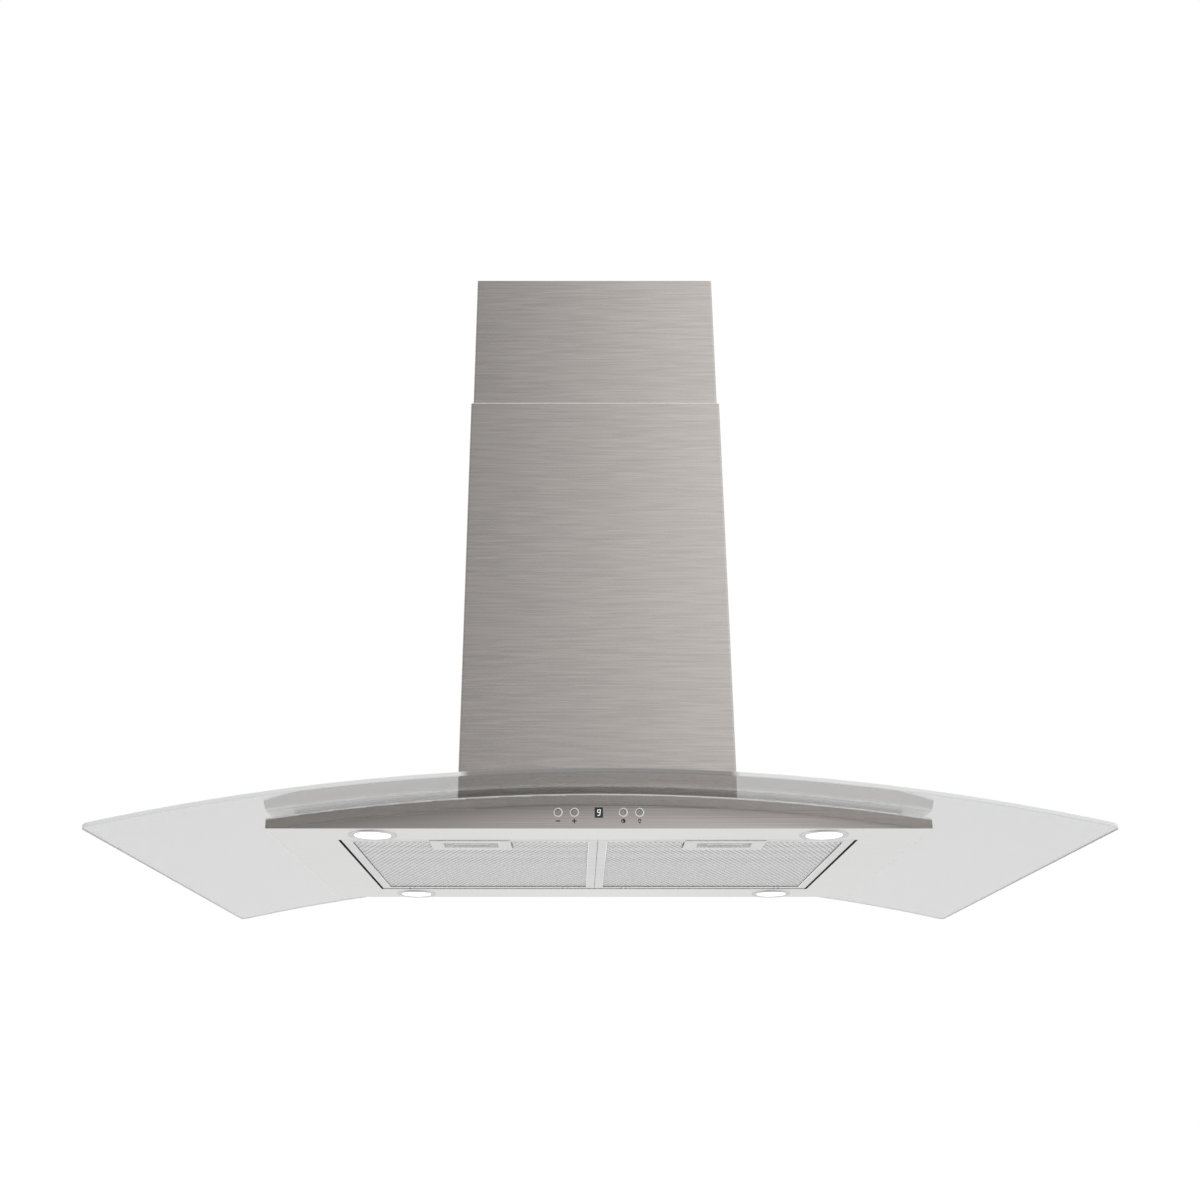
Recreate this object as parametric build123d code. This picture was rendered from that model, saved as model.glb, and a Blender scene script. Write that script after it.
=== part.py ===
"""Island range hood with a curved glass canopy, hung from the ceiling.

The model is drawn with z = 0 at the underside of the steel body, x to the right and y away
from the side with the buttons. x = y = 0 is the middle of the chimney. Every piece is then
lowered by the hood's height, so that the finished part hangs from z = 0, the ceiling.
"""

import os
from math import acos, cos, degrees, radians, sin, sqrt

from build123d import *

# ---- Overall sizes, in millimetres -------------------------------------------------------
hood_height = 650.0           # ceiling to the underside of the body

# Curved glass canopy: part of a cylinder that runs from front to back
glass_width = 900.0
glass_front = -272.0          # y of the front edge
glass_rear = 307.0            # y of the rear edge
glass_thickness = 4.0
glass_radius = 2068.0         # of the underside
glass_crown = 36.0            # height of the underside above the body's underside
glass_corner = 8.0            # corner radius in plan
glass_arris = 0.6             # ground edges

# Steel body under the glass
body_width = 612.0
body_depth = 409.0
body_sheet = 1.0
seal_thickness = 3.2          # rubber between the body's roof and the glass
seal_width = 8.0
seal_setback = 22.0           # from the body's faces to the seal
panel_fold = 4.0              # depth of the front and rear panels' folded top edges
panel_bend = 2.0              # outside radius of that fold

# Opening for the grease filters, in the body's underside
opening_from_side = 57.6      # from the body's faces
opening_from_front = 53.8
opening_from_rear = 59.8
opening_lip = 8.0             # height of the upturned edge

# Square air throat up through roof, glass and hanger frame
throat_width = 200.0
throat_corner = 16.0
throat_lip = 6.0

# Hanger frame, which clamps the glass, and its bolts
hanger_width = 265.0
hanger_sheet = 2.0
hanger_wall = 30.0
gasket_least = 3.0            # rubber above the crown of the glass
bolt_reach = 120.5            # bolt line, from the middle
bolt_spread = 120.0           # along each side, between the two bolts
bolt_radius = 3.0
bolt_hole_radius = 3.3
glass_hole_radius = 7.0
bolt_head_radius = 5.0
bolt_head_height = 4.0
nut_height = 5.0
bolt_end = 2.0                # thread below each nut

# Chimney covers
cover_width = 274.4
cover_sheet = 0.8
cover_bend = 2.0              # outside radius of the upright bends
cover_step = 487.0            # top of the lower cover
cover_hem = 8.0               # folded top edge of the lower cover
cover_hem_round = 1.2         # radius of that fold, outside
cover_slide_gap = 0.8         # between that edge and the upper cover
upper_width = 269.8
upper_length = 350.0
upper_ceiling_gap = 0.5
notch_width = 5.0             # open slots at the top of the upper cover
notch_depth = 15.0
cover_screw_radius = 2.0
cover_screw_length = 4.0
cover_screw_gap = 0.2         # under the heads in the open notches
cover_screw_head = 4.0
cover_screw_head_height = 1.6

# Tower of angle uprights inside the chimney
angle_leg = 22.0
angle_sheet = 1.5
lower_upright_top = 400.0
upright_overlap = 70.0        # of the upper uprights on the lower ones
ceiling_sheet = 2.0
ceiling_flange = 25.0
ceiling_flange_sheet = 1.8
ceiling_bolt_spacing = 200.0
ceiling_bolt_hole = 4.5
duct_hole_radius = 90.0
brace_sheet = 1.5
brace_flange = 20.0
brace_drop = 5.0              # below the tops of the lower uprights
cable_hole_radius = 11.0
frame_screw_radius = 2.0
frame_screw_head = 4.0
frame_screw_head_height = 1.3
frame_screw_end = 2.0         # inside the uprights
bracket_width = 60.0          # bent strips between hanger frame and lower cover
bracket_middle = 36.0         # of each strip, the stretch that stands off
bracket_margin = 5.0          # below and above, on the hanger frame's wall

# Blower box and the scroll inside it
box_width = 230.0
box_sheet = 1.0
box_flange = 11.0
box_height = 191.0
scroll_width = 100.0
scroll_wall = 2.0
scroll_y = -8.0               # shaft axis
scroll_above_box_foot = 98.0  # shaft axis above the foot of the blower box
volute_start = 68.0           # first of four quarter arcs, each one step larger
volute_step = 8.0
tongue_angle = 50.0
inlet_radius = 50.0
inlet_lip = 5.0               # how far the inlet's rim stands out
inlet_rim = 8.0               # width of the rim, seen from the side
inlet_flare = 4.5             # rounding of the rim's mouth

# Double-inlet impeller, its shaft and motor
impeller_radius = 60.0
impeller_width = 92.0
blade_count = 36
blade_depth = 9.0
blade_sheet = 0.9
blade_hollow = 9.0            # radius of each blade's curve
ring_depth = 6.3              # of the two end rings, inwards
impeller_disc = 2.0
impeller_ring = 2.0
hub_radius = 9.0
hub_length = 16.0
shaft_radius = 4.0
shaft_clearance = 0.05
motor_radius = 38.0
motor_length = 50.0
motor_disc_gap = 5.0
motor_boss = 4.0              # bearing bosses beyond the casing
motor_bevel = 2.0
groove_depth = 1.5
groove_width = 2.0
groove_places = (0.3, 0.5, 0.7)  # shares of the motor's length
shaft_end = 3.0               # beyond the far boss
bracket_ring_radius = 23.0
arm_width = 9.0
arm_sheet = 2.0

# Outlet adapter with its pair of damper flaps
duct_y = 20.0
spigot_radius = 74.6
spigot_wall = 1.6
spigot_length = 73.0
adapter_height = 26.0
adapter_flange = 7.0
adapter_sheet = 2.0
damper_above_spigot_foot = 4.0
damper_pin_radius = 1.5
knuckle_radius = 2.8
knuckle_clearance = 0.05
knuckle_middle = 20.0         # half length of the rear flap's knuckle
knuckle_end = 62.0            # far ends of the front flap's two knuckles
knuckle_gap = 0.4
pin_inset = 0.4               # the pin's ends, inside the spigot's surface
flap_sheet = 1.2
flap_wall_gap = 1.0
flap_ledge = 3.0
flap_seat_gap = 0.3           # under the closed flaps

# Round lamps in the underside
lamp_from_side = 94.3         # lamp centres, from the body's faces
lamp_from_front = 30.3
lamp_from_rear = 25.7
lamp_rim_radius = 23.0
lamp_hole_radius = 20.5
lamp_lens_radius = 17.0
lamp_rim_height = 1.6
lamp_rim_round = 2.6          # width of the rim's rounded outside
lamp_can_height = 14.0
lamp_wall = 1.5
lens_drop = 0.6               # of the lens's face, below the underside
lens_thickness = 3.0          # above the underside
lens_shoulder = 1.2
lens_shoulder_gap = 0.2

# Push buttons and display in the front panel
button_pitch = 15.0
button_inner_x = 22.5
button_z = 14.7
button_ring_radius = 4.35
button_ring_height = 1.0
button_ring_round = 0.45      # radius of the ring's outer edge
button_hole_radius = 3.6
button_bore = 3.0
button_gap = 0.3
button_travel = 1.2
button_press_gap = 0.1        # left between a pressed cap and its switch
button_barrel = 4.5           # ring's tube, from the panel's face inwards
button_collar = 3.5
button_collar_length = 1.0
display_width = 7.7
display_height = 9.6
display_proud = 0.2
carrier_width = 104.0
carrier_height = 20.0
carrier_wall = 2.0
carrier_depth = 15.5
board_sheet = 1.6
switch_size = 6.0
switch_height = 2.0
plunger_radius = 1.6
plunger_height = 0.6

# Grease filters, one each side of the middle
filter_thickness = 9.0
filter_lift = 0.6             # underside of the filters above the body's underside
filter_side_gap = 2.3
filter_middle_gap = 0.2
filter_front_gap = 3.5
filter_rear_gap = 1.2
filter_rail = 9.0
filter_sheet = 0.8
hinge_inset = 3.5             # hinge pin from the filter's rear face
hinge_height = 2.5            # hinge pin above the filter's underside
hinge_pin_radius = 1.5
hinge_clearance = 0.05
lug_radius = 2.4
lug_width = 3.0
lug_gap = 1.5
lug_from_edge = 34.0

# Sprung catch at the front of each filter
catch_width = 78.0
catch_depth = 41.0
catch_front_gap = 0.7         # from the filter's front edge to the pull plate
catch_plate_sheet = 1.0
catch_corner = 2.0
pocket_width = 53.0
pocket_setback = 11.0         # from the pull plate's front edge
pocket_height = 7.4
pocket_wall = 0.8
slide_width = 34.0
slide_depth = 12.0
slide_sheet = 1.8
slide_gap = 0.3
tongue_width = 16.0
tongue_reach = 2.5            # past the filter's front edge
slide_travel = 4.5
grip_thickness = 2.4
spring_sheet = 0.5
spring_room = 4.7             # left for the leaf spring when the slide is pulled
keeper_sheet = 0.5
keeper_lip = 2.4
keeper_width = 20.0

# Electrical box on the blower box
wiring_width = 64.0
wiring_depth = 44.0
wiring_height = 38.0
wiring_wall = 1.6
wiring_lid_sheet = 2.0
wiring_edge = 4.0             # from the gland's nut to the wiring box's side
cable_x = -96.0
cable_y = -84.0
gland_radius = 8.0
gland_bore = 4.2
gland_height = 14.0
gland_stub = 6.0              # below the lid
gland_nut_radius = 11.0
gland_nut_height = 4.0


# ---- Places that follow from the sizes ---------------------------------------------------
arch_axis = glass_crown - glass_radius
roof_radius = glass_radius - seal_thickness
glass_top_radius = glass_radius + glass_thickness
body_front = -body_depth / 2
body_rear = body_depth / 2
opening_width = body_width - 2 * opening_from_side
opening_front = body_front + opening_from_front
opening_rear = body_rear - opening_from_rear
hanger_foot = glass_crown + glass_thickness + gasket_least
hanger_top = hanger_foot + hanger_sheet
box_top = hanger_top + box_height
spigot_foot = box_top + adapter_height
spigot_top = spigot_foot + spigot_length
damper_z = spigot_foot + damper_above_spigot_foot
scroll_z = hanger_top + scroll_above_box_foot
upright_inside = hanger_width / 2 - hanger_sheet
upper_upright_foot = lower_upright_top - upright_overlap
brace_top = lower_upright_top - brace_drop
brace_foot = brace_top - brace_flange
upper_upright_outside = upright_inside + angle_sheet
ceiling_half = upper_upright_outside + ceiling_flange_sheet
cover_half = cover_width / 2
upper_half = upper_width / 2
upper_top = hood_height - upper_ceiling_gap
filter_foot = filter_lift
filter_top = filter_foot + filter_thickness
filter_front = opening_front + filter_front_gap
filter_rear = opening_rear - filter_rear_gap
filter_inner_x = filter_middle_gap
filter_outer_x = opening_width / 2 - filter_side_gap
filter_middle_x = (filter_inner_x + filter_outer_x) / 2
hinge_y = filter_rear - hinge_inset
hinge_z = filter_foot + hinge_height
pocket_depth = slide_gap + slide_depth + slide_travel + spring_room
lamp_x = body_width / 2 - lamp_from_side
lamp_front = body_front + lamp_from_front
lamp_rear = body_rear - lamp_from_rear
button_places = [
    -button_inner_x - button_pitch,
    -button_inner_x,
    button_inner_x,
    button_inner_x + button_pitch,
]
bolt_places = [
    (side * bolt_reach, end * bolt_spread / 2) for side in (-1, 1) for end in (-1, 1)
] + [
    (end * bolt_spread / 2, side * bolt_reach) for side in (-1, 1) for end in (-1, 1)
]
corners = {
    "front_left": (-1, -1),
    "front_right": (1, -1),
    "rear_left": (-1, 1),
    "rear_right": (1, 1),
}
sides = {"left": -1, "right": 1}


# ---- Drawing helpers ---------------------------------------------------------------------
def block(x, y, z):
    """A box between three (low, high) pairs, given in either order."""
    low = [min(pair) for pair in (x, y, z)]
    high = [max(pair) for pair in (x, y, z)]
    size = [b - a for a, b in zip(low, high)]
    middle = [(a + b) / 2 for a, b in zip(low, high)]
    return Pos(*middle) * Box(*size)


def mirrored(pair, side):
    """The same (low, high) pair on the left for side -1 and on the right for side 1."""
    return (side * pair[0], side * pair[1])


def rod_x(radius, x, y, z):
    """A round bar along X from x[0] to x[1]."""
    middle = (x[0] + x[1]) / 2
    return Pos(middle, y, z) * Rot(0, 90, 0) * Cylinder(radius, abs(x[1] - x[0]))


def rod_y(radius, x, y, z):
    """A round bar along Y from y[0] to y[1]."""
    middle = (y[0] + y[1]) / 2
    return Pos(x, middle, z) * Rot(90, 0, 0) * Cylinder(radius, abs(y[1] - y[0]))


def rod_z(radius, x, y, z):
    """A round bar along Z from z[0] to z[1]."""
    middle = (z[0] + z[1]) / 2
    return Pos(x, y, middle) * Cylinder(radius, abs(z[1] - z[0]))


def post(half_x, half_y, corner, z, y=0.0):
    """An upright square bar with rounded corners."""
    outline = RectangleRounded(2 * half_x, 2 * half_y, corner)
    return Pos(0, y, z[0]) * extrude(outline, amount=z[1] - z[0])


def arch_z(radius, x):
    """Height of the arch of this radius at x."""
    return arch_axis + sqrt(radius**2 - x**2)


def arch_edge(radius, half_x):
    """The arch of this radius, drawn from -half_x to half_x."""
    end = arch_z(radius, half_x)
    return ThreePointArc((-half_x, end), (0, arch_z(radius, 0)), (half_x, end))


def flat_edge(z, half_x):
    """A level line from -half_x to half_x."""
    return Line((-half_x, z), (half_x, z))


def slab(y, low, high):
    """The solid between a lower and an upper edge, from y[0] to y[1], with upright sides."""
    sides = [Line(low @ end, high @ end) for end in (0, 1)]
    return extrude(Plane.XZ.offset(-y[1]) * make_face([low, high, *sides]), amount=y[1] - y[0])


def arch_band(half_x, y, low_radius, high_radius):
    """A sheet curved about the glass's axis."""
    return slab(y, arch_edge(low_radius, half_x), arch_edge(high_radius, half_x))


def arch_fill(half_x, y, foot, radius):
    """Everything between a flat foot and the arch of this radius."""
    return slab(y, flat_edge(foot, half_x), arch_edge(radius, half_x))


def arch_cap(half_x, y, radius, top):
    """Everything between the arch of this radius and a flat top."""
    return slab(y, arch_edge(radius, half_x), flat_edge(top, half_x))


def bolt_holes(radius, z):
    """Eight upright bars on the clamp bolts' places."""
    return [rod_z(radius, x, y, z) for x, y in bolt_places]


def throat(z):
    """The square air passage, as a bar to cut with."""
    half = throat_width / 2
    return post(half, half, throat_corner, z)


def save(name, *solids):
    """Writes one node, hung from the ceiling."""
    hung = [Pos(0, 0, -hood_height) * solid for solid in solids]
    shape = hung[0] if len(hung) == 1 else Compound(children=hung)
    export_step(shape, f"parts/{name}.step")


# ---- Canopy and the steel body -----------------------------------------------------------
def glass_canopy():
    """The curved pane, with rounded corners, the air throat and eight bolt holes."""
    pane = arch_band(glass_width / 2, (glass_front, glass_rear), glass_radius, glass_top_radius)
    pane = fillet(pane.edges().filter_by(Axis.Z), glass_corner)
    pane = chamfer(pane.edges() - pane.edges().filter_by(Axis.Z), glass_arris)
    reach = (0.0, glass_crown + 2 * glass_thickness)
    return pane - throat(reach) - bolt_holes(glass_hole_radius, reach)


def seal_ring(outer_x, outer_y, inner_x, inner_y):
    """A flat rubber ring bent to the arch, between the roof and the glass."""
    outer = arch_band(outer_x, (-outer_y, outer_y), roof_radius, glass_radius)
    return outer - block((-inner_x, inner_x), (-inner_y, inner_y), (0, 2 * glass_crown))


def perimeter_seal():
    """The rubber strip that keeps air from passing between the body and the glass."""
    outer_x = body_width / 2 - seal_setback
    outer_y = body_depth / 2 - seal_setback
    return seal_ring(outer_x, outer_y, outer_x - seal_width, outer_y - seal_width)


def throat_seal():
    """The rubber ring under the glass, round the throat, which the bolts pass through."""
    outer = hanger_width / 2
    ring = arch_band(outer, (-outer, outer), roof_radius, glass_radius)
    reach = (0.0, 2 * glass_crown)
    return ring - throat(reach) - bolt_holes(bolt_hole_radius, reach)


def upper_gasket():
    """The rubber ring on the glass: curved below, flat on top, with sleeves for the bolts."""
    outer = hanger_width / 2
    ring = arch_cap(outer, (-outer, outer), glass_top_radius, hanger_foot)
    sleeves = [
        rod_z(glass_hole_radius, x, y, (glass_crown - glass_thickness, hanger_foot))
        - arch_fill(outer, (-outer, outer), 0, glass_radius)
        for x, y in bolt_places
    ]
    reach = (0.0, hanger_foot + 1)
    return ring + sleeves - throat(reach) - bolt_holes(bolt_hole_radius, reach)


def arched_panel(face, side):
    """A panel with an arched top, folded over the roof's edge. side is -1 at the front."""
    half = body_width / 2
    panel = arch_fill(half, sorted((face, face - side * panel_fold)), 0, roof_radius)
    outer = panel.faces().sort_by(Axis.Y)[0 if side < 0 else -1].edges().sort_by(Axis.Z)[-1]
    panel = fillet(outer, panel_bend)
    room = sorted((face - side * body_sheet, face - side * (panel_fold + 1)))
    hollow = arch_fill(half + 1, room, -1, roof_radius - body_sheet)
    inner = hollow.faces().sort_by(Axis.Y)[0 if side < 0 else -1].edges().sort_by(Axis.Z)[-1]
    return panel - fillet(inner, panel_bend - body_sheet)


def front_fascia():
    """The brushed front panel: arched top, four button holes and the display's slot."""
    y = (body_front - 1, body_front + body_sheet + 1)
    panel = arched_panel(body_front, -1)
    for x in button_places:
        panel -= rod_y(button_hole_radius, x, y, button_z)
    return panel - display_block(*y)


def rear_fascia():
    """The same arched panel at the back, without controls."""
    return arched_panel(body_rear, 1)


def base_pan():
    """The underside: side walls, lamp holes, filter opening with its lip, hinge lugs."""
    y = (body_front + body_sheet, body_rear - body_sheet)
    half = body_width / 2
    pan = arch_fill(half, y, 0, roof_radius - body_sheet)
    pan -= [arched_panel(body_front, -1), arched_panel(body_rear, 1)]
    pan -= block((-half + body_sheet, half - body_sheet), y, (body_sheet, hood_height))
    lip_x = opening_width / 2 + body_sheet
    lip_y = (opening_front - body_sheet, opening_rear + body_sheet)
    pan += block((-lip_x, lip_x), lip_y, (0, opening_lip))
    opening_x = (-opening_width / 2, opening_width / 2)
    pan -= block(opening_x, (opening_front, opening_rear), (-1, opening_lip + 1))
    for x in (-lamp_x, lamp_x):
        for lamp_y in (lamp_front, lamp_rear):
            pan -= rod_z(lamp_hole_radius, x, lamp_y, (-1, body_sheet + 1))
    for x in lug_places():
        pan += hinge_lug(x)
    return pan


def lug_places():
    """The x of the four filter hinges, two to a filter."""
    near = filter_inner_x + lug_from_edge
    far = filter_outer_x - lug_from_edge
    return [-far, -near, near, far]


def hinge_lug(x):
    """A small plate that reaches forward from the opening's rear lip to a hinge pin."""
    width = (x - lug_width / 2, x + lug_width / 2)
    plate = block(width, (hinge_y, opening_rear), (hinge_z - lug_radius, hinge_z + lug_radius))
    eye = rod_x(lug_radius, width, hinge_y, hinge_z)
    hole = rod_x(hinge_pin_radius + hinge_clearance, (width[0] - 1, width[1] + 1), hinge_y, hinge_z)
    return plate + eye - hole


def top_deck():
    """The body's arched roof sheet, with the throat's turned-down edge and bolt holes."""
    y = (body_front + panel_fold, body_rear - panel_fold)
    deck = arch_band(body_width / 2, y, roof_radius - body_sheet, roof_radius)
    half = throat_width / 2 + body_sheet
    crown = glass_crown - seal_thickness
    lip = post(half, half, throat_corner + body_sheet, (crown - throat_lip - body_sheet, crown))
    lip -= arch_cap(half + 1, (-half - 1, half + 1), roof_radius - body_sheet, crown + 1)
    reach = (0.0, glass_crown)
    return deck + lip - throat(reach) - bolt_holes(bolt_hole_radius, reach)


def hanger_frame():
    """The folded steel frame above the glass, which carries the body and the uprights."""
    half = hanger_width / 2
    inside = half - hanger_sheet
    tray = block((-half, half), (-half, half), (hanger_foot, hanger_foot + hanger_wall))
    tray -= block((-inside, inside), (-inside, inside), (hanger_top, hood_height))
    reach = (0.0, hanger_top + 1)
    return tray - throat(reach) - bolt_holes(bolt_hole_radius, reach)


def clamp_bolts():
    """Eight bolts from the blower box's flange down through the glass, with their nuts."""
    head_foot = hanger_top + box_sheet
    bolts = []
    for x, y in bolt_places:
        nut_top = arch_z(roof_radius - body_sheet, abs(x) + bolt_head_radius)
        shank = rod_z(bolt_radius, x, y, (nut_top - nut_height - bolt_end, head_foot))
        head = Pos(x, y, head_foot) * extrude(RegularPolygon(bolt_head_radius, 6), bolt_head_height)
        nut = Pos(x, y, nut_top - nut_height) * extrude(RegularPolygon(bolt_head_radius, 6), nut_height)
        bolts.append(shank + head + nut)
    return bolts


# ---- Lamps -------------------------------------------------------------------------------
def lamp_housing(x, y):
    """A can pressed up through the underside, with a domed rim that covers the hole."""
    crest = lamp_rim_radius - lamp_rim_round
    bulge = sqrt(0.5)
    bend = (crest + lamp_rim_round * bulge, -lamp_rim_height * bulge)
    room = lamp_hole_radius - lamp_wall
    roof = lamp_can_height - lamp_wall
    outline = make_face([
        ThreePointArc((lamp_rim_radius, 0), bend, (crest, -lamp_rim_height)),
        *Polyline(
            (crest, -lamp_rim_height),
            (lamp_lens_radius, -lens_drop),
            (lamp_lens_radius, lens_thickness),
            (room, lens_thickness),
            (room, roof),
            (0, roof),
            (0, lamp_can_height),
            (lamp_hole_radius, lamp_can_height),
            (lamp_hole_radius, 0),
            (lamp_rim_radius, 0),
        ).edges(),
    ])
    return Pos(x, y, 0) * revolve(Plane.XZ * outline, Axis.Z)


def lamp_lens(x, y):
    """The frosted disc in a lamp, whose shoulder rests inside the can."""
    disc = rod_z(lamp_lens_radius, x, y, (-lens_drop, lens_thickness))
    shoulder = lamp_hole_radius - lamp_wall - lens_shoulder_gap
    return disc + rod_z(shoulder, x, y, (lens_thickness, lens_thickness + lens_shoulder))


# ---- Controls ----------------------------------------------------------------------------
def display_block(y_front, y_back):
    """A bar with the display's outline."""
    z = (button_z - display_height / 2, button_z + display_height / 2)
    return block((-display_width / 2, display_width / 2), (y_front, y_back), z)


def carrier_back():
    """y of the rear edge of the carrier's walls."""
    return body_front + body_sheet + carrier_depth


def board_front():
    """y of the board's face, one board behind the carrier's rear edge."""
    return carrier_back() - 2 * board_sheet


def control_carrier():
    """The moulding behind the front panel that holds the rings, display and board."""
    front = body_front + body_sheet
    z = (button_z - carrier_height / 2, button_z + carrier_height / 2)
    half = carrier_width / 2
    shell = block((-half, half), (front, carrier_back()), z)
    room_z = (z[0] + carrier_wall, z[1] - carrier_wall)
    room_y = (front + carrier_wall, carrier_back() + 1)
    shell -= block((-half + carrier_wall, half - carrier_wall), room_y, room_z)
    for x in button_places:
        shell -= rod_y(button_hole_radius, x, (front - 1, front + carrier_wall + 1), button_z)
    return shell - display_block(front - 1, front + carrier_wall + 1)


def plunger_tip():
    """y of the tips of the switches' plungers."""
    return board_front() - switch_height - plunger_height


def control_board():
    """The circuit board with its four soldered push switches."""
    half = carrier_width / 2 - carrier_wall
    rise = carrier_height / 2 - carrier_wall
    face = board_front()
    board = block((-half, half), (face, face + board_sheet), (button_z - rise, button_z + rise))
    arm = switch_size / 2
    for x in button_places:
        z = (button_z - arm, button_z + arm)
        board += block((x - arm, x + arm), (face - switch_height, face), z)
        board += rod_y(plunger_radius, x, (plunger_tip(), face - switch_height), button_z)
    return board


def display_window():
    """The black display behind its window, from the panel's face back to the board."""
    return display_block(body_front - display_proud, board_front())


def button_ring(x):
    """The bright ring round a button, with the tube that guides the cap."""
    face = body_front - button_ring_height
    flange = rod_y(button_ring_radius, x, (face, body_front), button_z)
    flange = fillet(flange.faces().sort_by(Axis.Y)[0].edges(), button_ring_round)
    tube = rod_y(button_hole_radius, x, (body_front, body_front + button_barrel), button_z)
    bore = rod_y(button_bore, x, (face - 1, body_front + button_barrel + 1), button_z)
    return flange + tube - bore


def button_cap(x):
    """A round cap, with the collar that stops it from coming out, short of its switch."""
    face = body_front - button_ring_height / 2
    back = plunger_tip() - button_travel - button_press_gap
    cap = rod_y(button_bore - button_gap, x, (face, back), button_z)
    cap = fillet(cap.faces().sort_by(Axis.Y)[0].edges(), button_gap)
    stop = body_front + button_barrel + button_gap
    return cap + rod_y(button_collar, x, (stop, stop + button_collar_length), button_z)


# ---- Grease filters ----------------------------------------------------------------------
def catch_y():
    """Front and back of the pull plate on a filter."""
    front = filter_front + catch_front_gap
    return (front, front + catch_depth)


def pocket_y():
    """Front and back of the finger pocket in the pull plate."""
    front = catch_y()[0] + pocket_setback
    return (front, front + pocket_depth)


def span_x(width, side):
    """A width centred on the filter of that side."""
    middle = side * filter_middle_x
    return (middle - width / 2, middle + width / 2)


def tongue_z():
    """Bottom and top of the catch's slide and tongue."""
    top = filter_foot + pocket_height - pocket_wall - slide_gap
    return (top - slide_sheet, top)


def tongue_slot(side, width, y):
    """The passage of the tongue, as a bar with running room all round."""
    z = tongue_z()
    return block(span_x(width + 2 * slide_gap, side), y, (z[0] - slide_gap, z[1] + slide_gap))


def filter_frame(side):
    """A folded channel frame that holds the mesh, with pins for the two hinges."""
    x = mirrored((filter_inner_x, filter_outer_x), side)
    y = (filter_front, filter_rear)
    window = mirrored((filter_inner_x + filter_rail, filter_outer_x - filter_rail), side)
    frame = block(x, y, (filter_foot, filter_top))
    frame -= block(window, (y[0] + filter_rail, y[1] - filter_rail), (filter_foot - 1, filter_top + 1))
    frame -= mesh_block(side)
    frame -= tongue_slot(side, tongue_width, (y[0] - 1, y[0] + filter_sheet + 1))
    frame -= pocket_block(side)
    for lug_x in lug_places():
        if lug_x * side > 0:
            room = (lug_x - lug_width / 2 - lug_gap, lug_x + lug_width / 2 + lug_gap)
            frame -= block(room, (hinge_y - hinge_inset, y[1] + 1), (filter_foot - 1, filter_top + 1))
            frame += rod_x(hinge_pin_radius, room, hinge_y, hinge_z)
    return frame


def mesh_block(side):
    """The room inside the frame's channel, which the mesh fills."""
    x = mirrored((filter_inner_x + filter_sheet, filter_outer_x - filter_sheet), side)
    rear = hinge_y - hinge_inset - filter_sheet
    z = (filter_foot + filter_sheet, filter_top - filter_sheet)
    return block(x, (filter_front + filter_sheet, rear), z)


def pocket_block(side):
    """The outside of the finger pocket."""
    y = pocket_y()
    x = span_x(pocket_width + 2 * pocket_wall, side)
    return block(x, (y[0] - pocket_wall, y[1] + pocket_wall), (filter_foot, filter_foot + pocket_height))


def filter_mesh(side):
    """The pad of expanded aluminium, cut out round the finger pocket and the tongue."""
    pad = mesh_block(side) - pocket_block(side)
    return pad - tongue_slot(side, tongue_width, (filter_front, pocket_y()[0]))


def catch_plate(side):
    """The pull plate under the mesh, with the pocket that a finger reaches into."""
    y = pocket_y()
    plate = block(span_x(catch_width, side), catch_y(), (filter_foot - catch_plate_sheet, filter_foot))
    plate = fillet(plate.edges().filter_by(Axis.Z), catch_corner)
    plate += pocket_block(side)
    inside_z = (filter_foot - catch_plate_sheet - 1, filter_foot + pocket_height - pocket_wall)
    plate -= block(span_x(pocket_width, side), y, inside_z)
    return plate - tongue_slot(side, tongue_width, (y[0] - pocket_wall - 1, y[0] + 1))


def catch_slide(side):
    """The slide in the pocket: a grip for one finger, and a tongue over the keeper."""
    z = tongue_z()
    back = pocket_y()[0] + slide_gap + slide_depth
    slide = block(span_x(slide_width, side), (back - slide_depth, back), z)
    tip = filter_front - tongue_reach
    slide += block(span_x(tongue_width, side), (tip, back), z)
    grip_y = (back - grip_thickness, back)
    return slide + block(span_x(slide_width, side), grip_y, (filter_foot, z[1]))


def catch_spring(side):
    """A bowed leaf spring between the slide and the back of the pocket."""
    z = tongue_z()
    near = pocket_y()[0] + slide_gap + slide_depth
    back = pocket_y()[1]
    half = slide_width / 2
    middle = side * filter_middle_x
    face = back - spring_sheet
    strip = make_face([
        ThreePointArc((middle - half, face), (middle, near), (middle + half, face)),
        Line((middle + half, face), (middle + half, back)),
        ThreePointArc((middle + half, back), (middle, near + spring_sheet), (middle - half, back)),
        Line((middle - half, back), (middle - half, face)),
    ])
    return Pos(0, 0, z[0]) * extrude(strip, amount=z[1] - z[0])


def filter_keeper(side):
    """A small spring-steel angle on the opening's front lip, which the tongue rests over."""
    lip_top = tongue_z()[0] - slide_gap
    x = span_x(keeper_width, side)
    leg = block(x, (opening_front, opening_front + keeper_sheet), (body_sheet, lip_top))
    lip_y = (opening_front, opening_front + keeper_lip)
    return leg + block(x, lip_y, (lip_top - keeper_sheet, lip_top))


# ---- Blower ------------------------------------------------------------------------------
def neck_y():
    """Front and back of the scroll's outlet, inside its walls."""
    front = scroll_y - volute_step / 2 + volute_start * cos(radians(tongue_angle))
    back = scroll_y + volute_step / 2 + volute_start + 3 * volute_step
    return (front, back)


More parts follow.
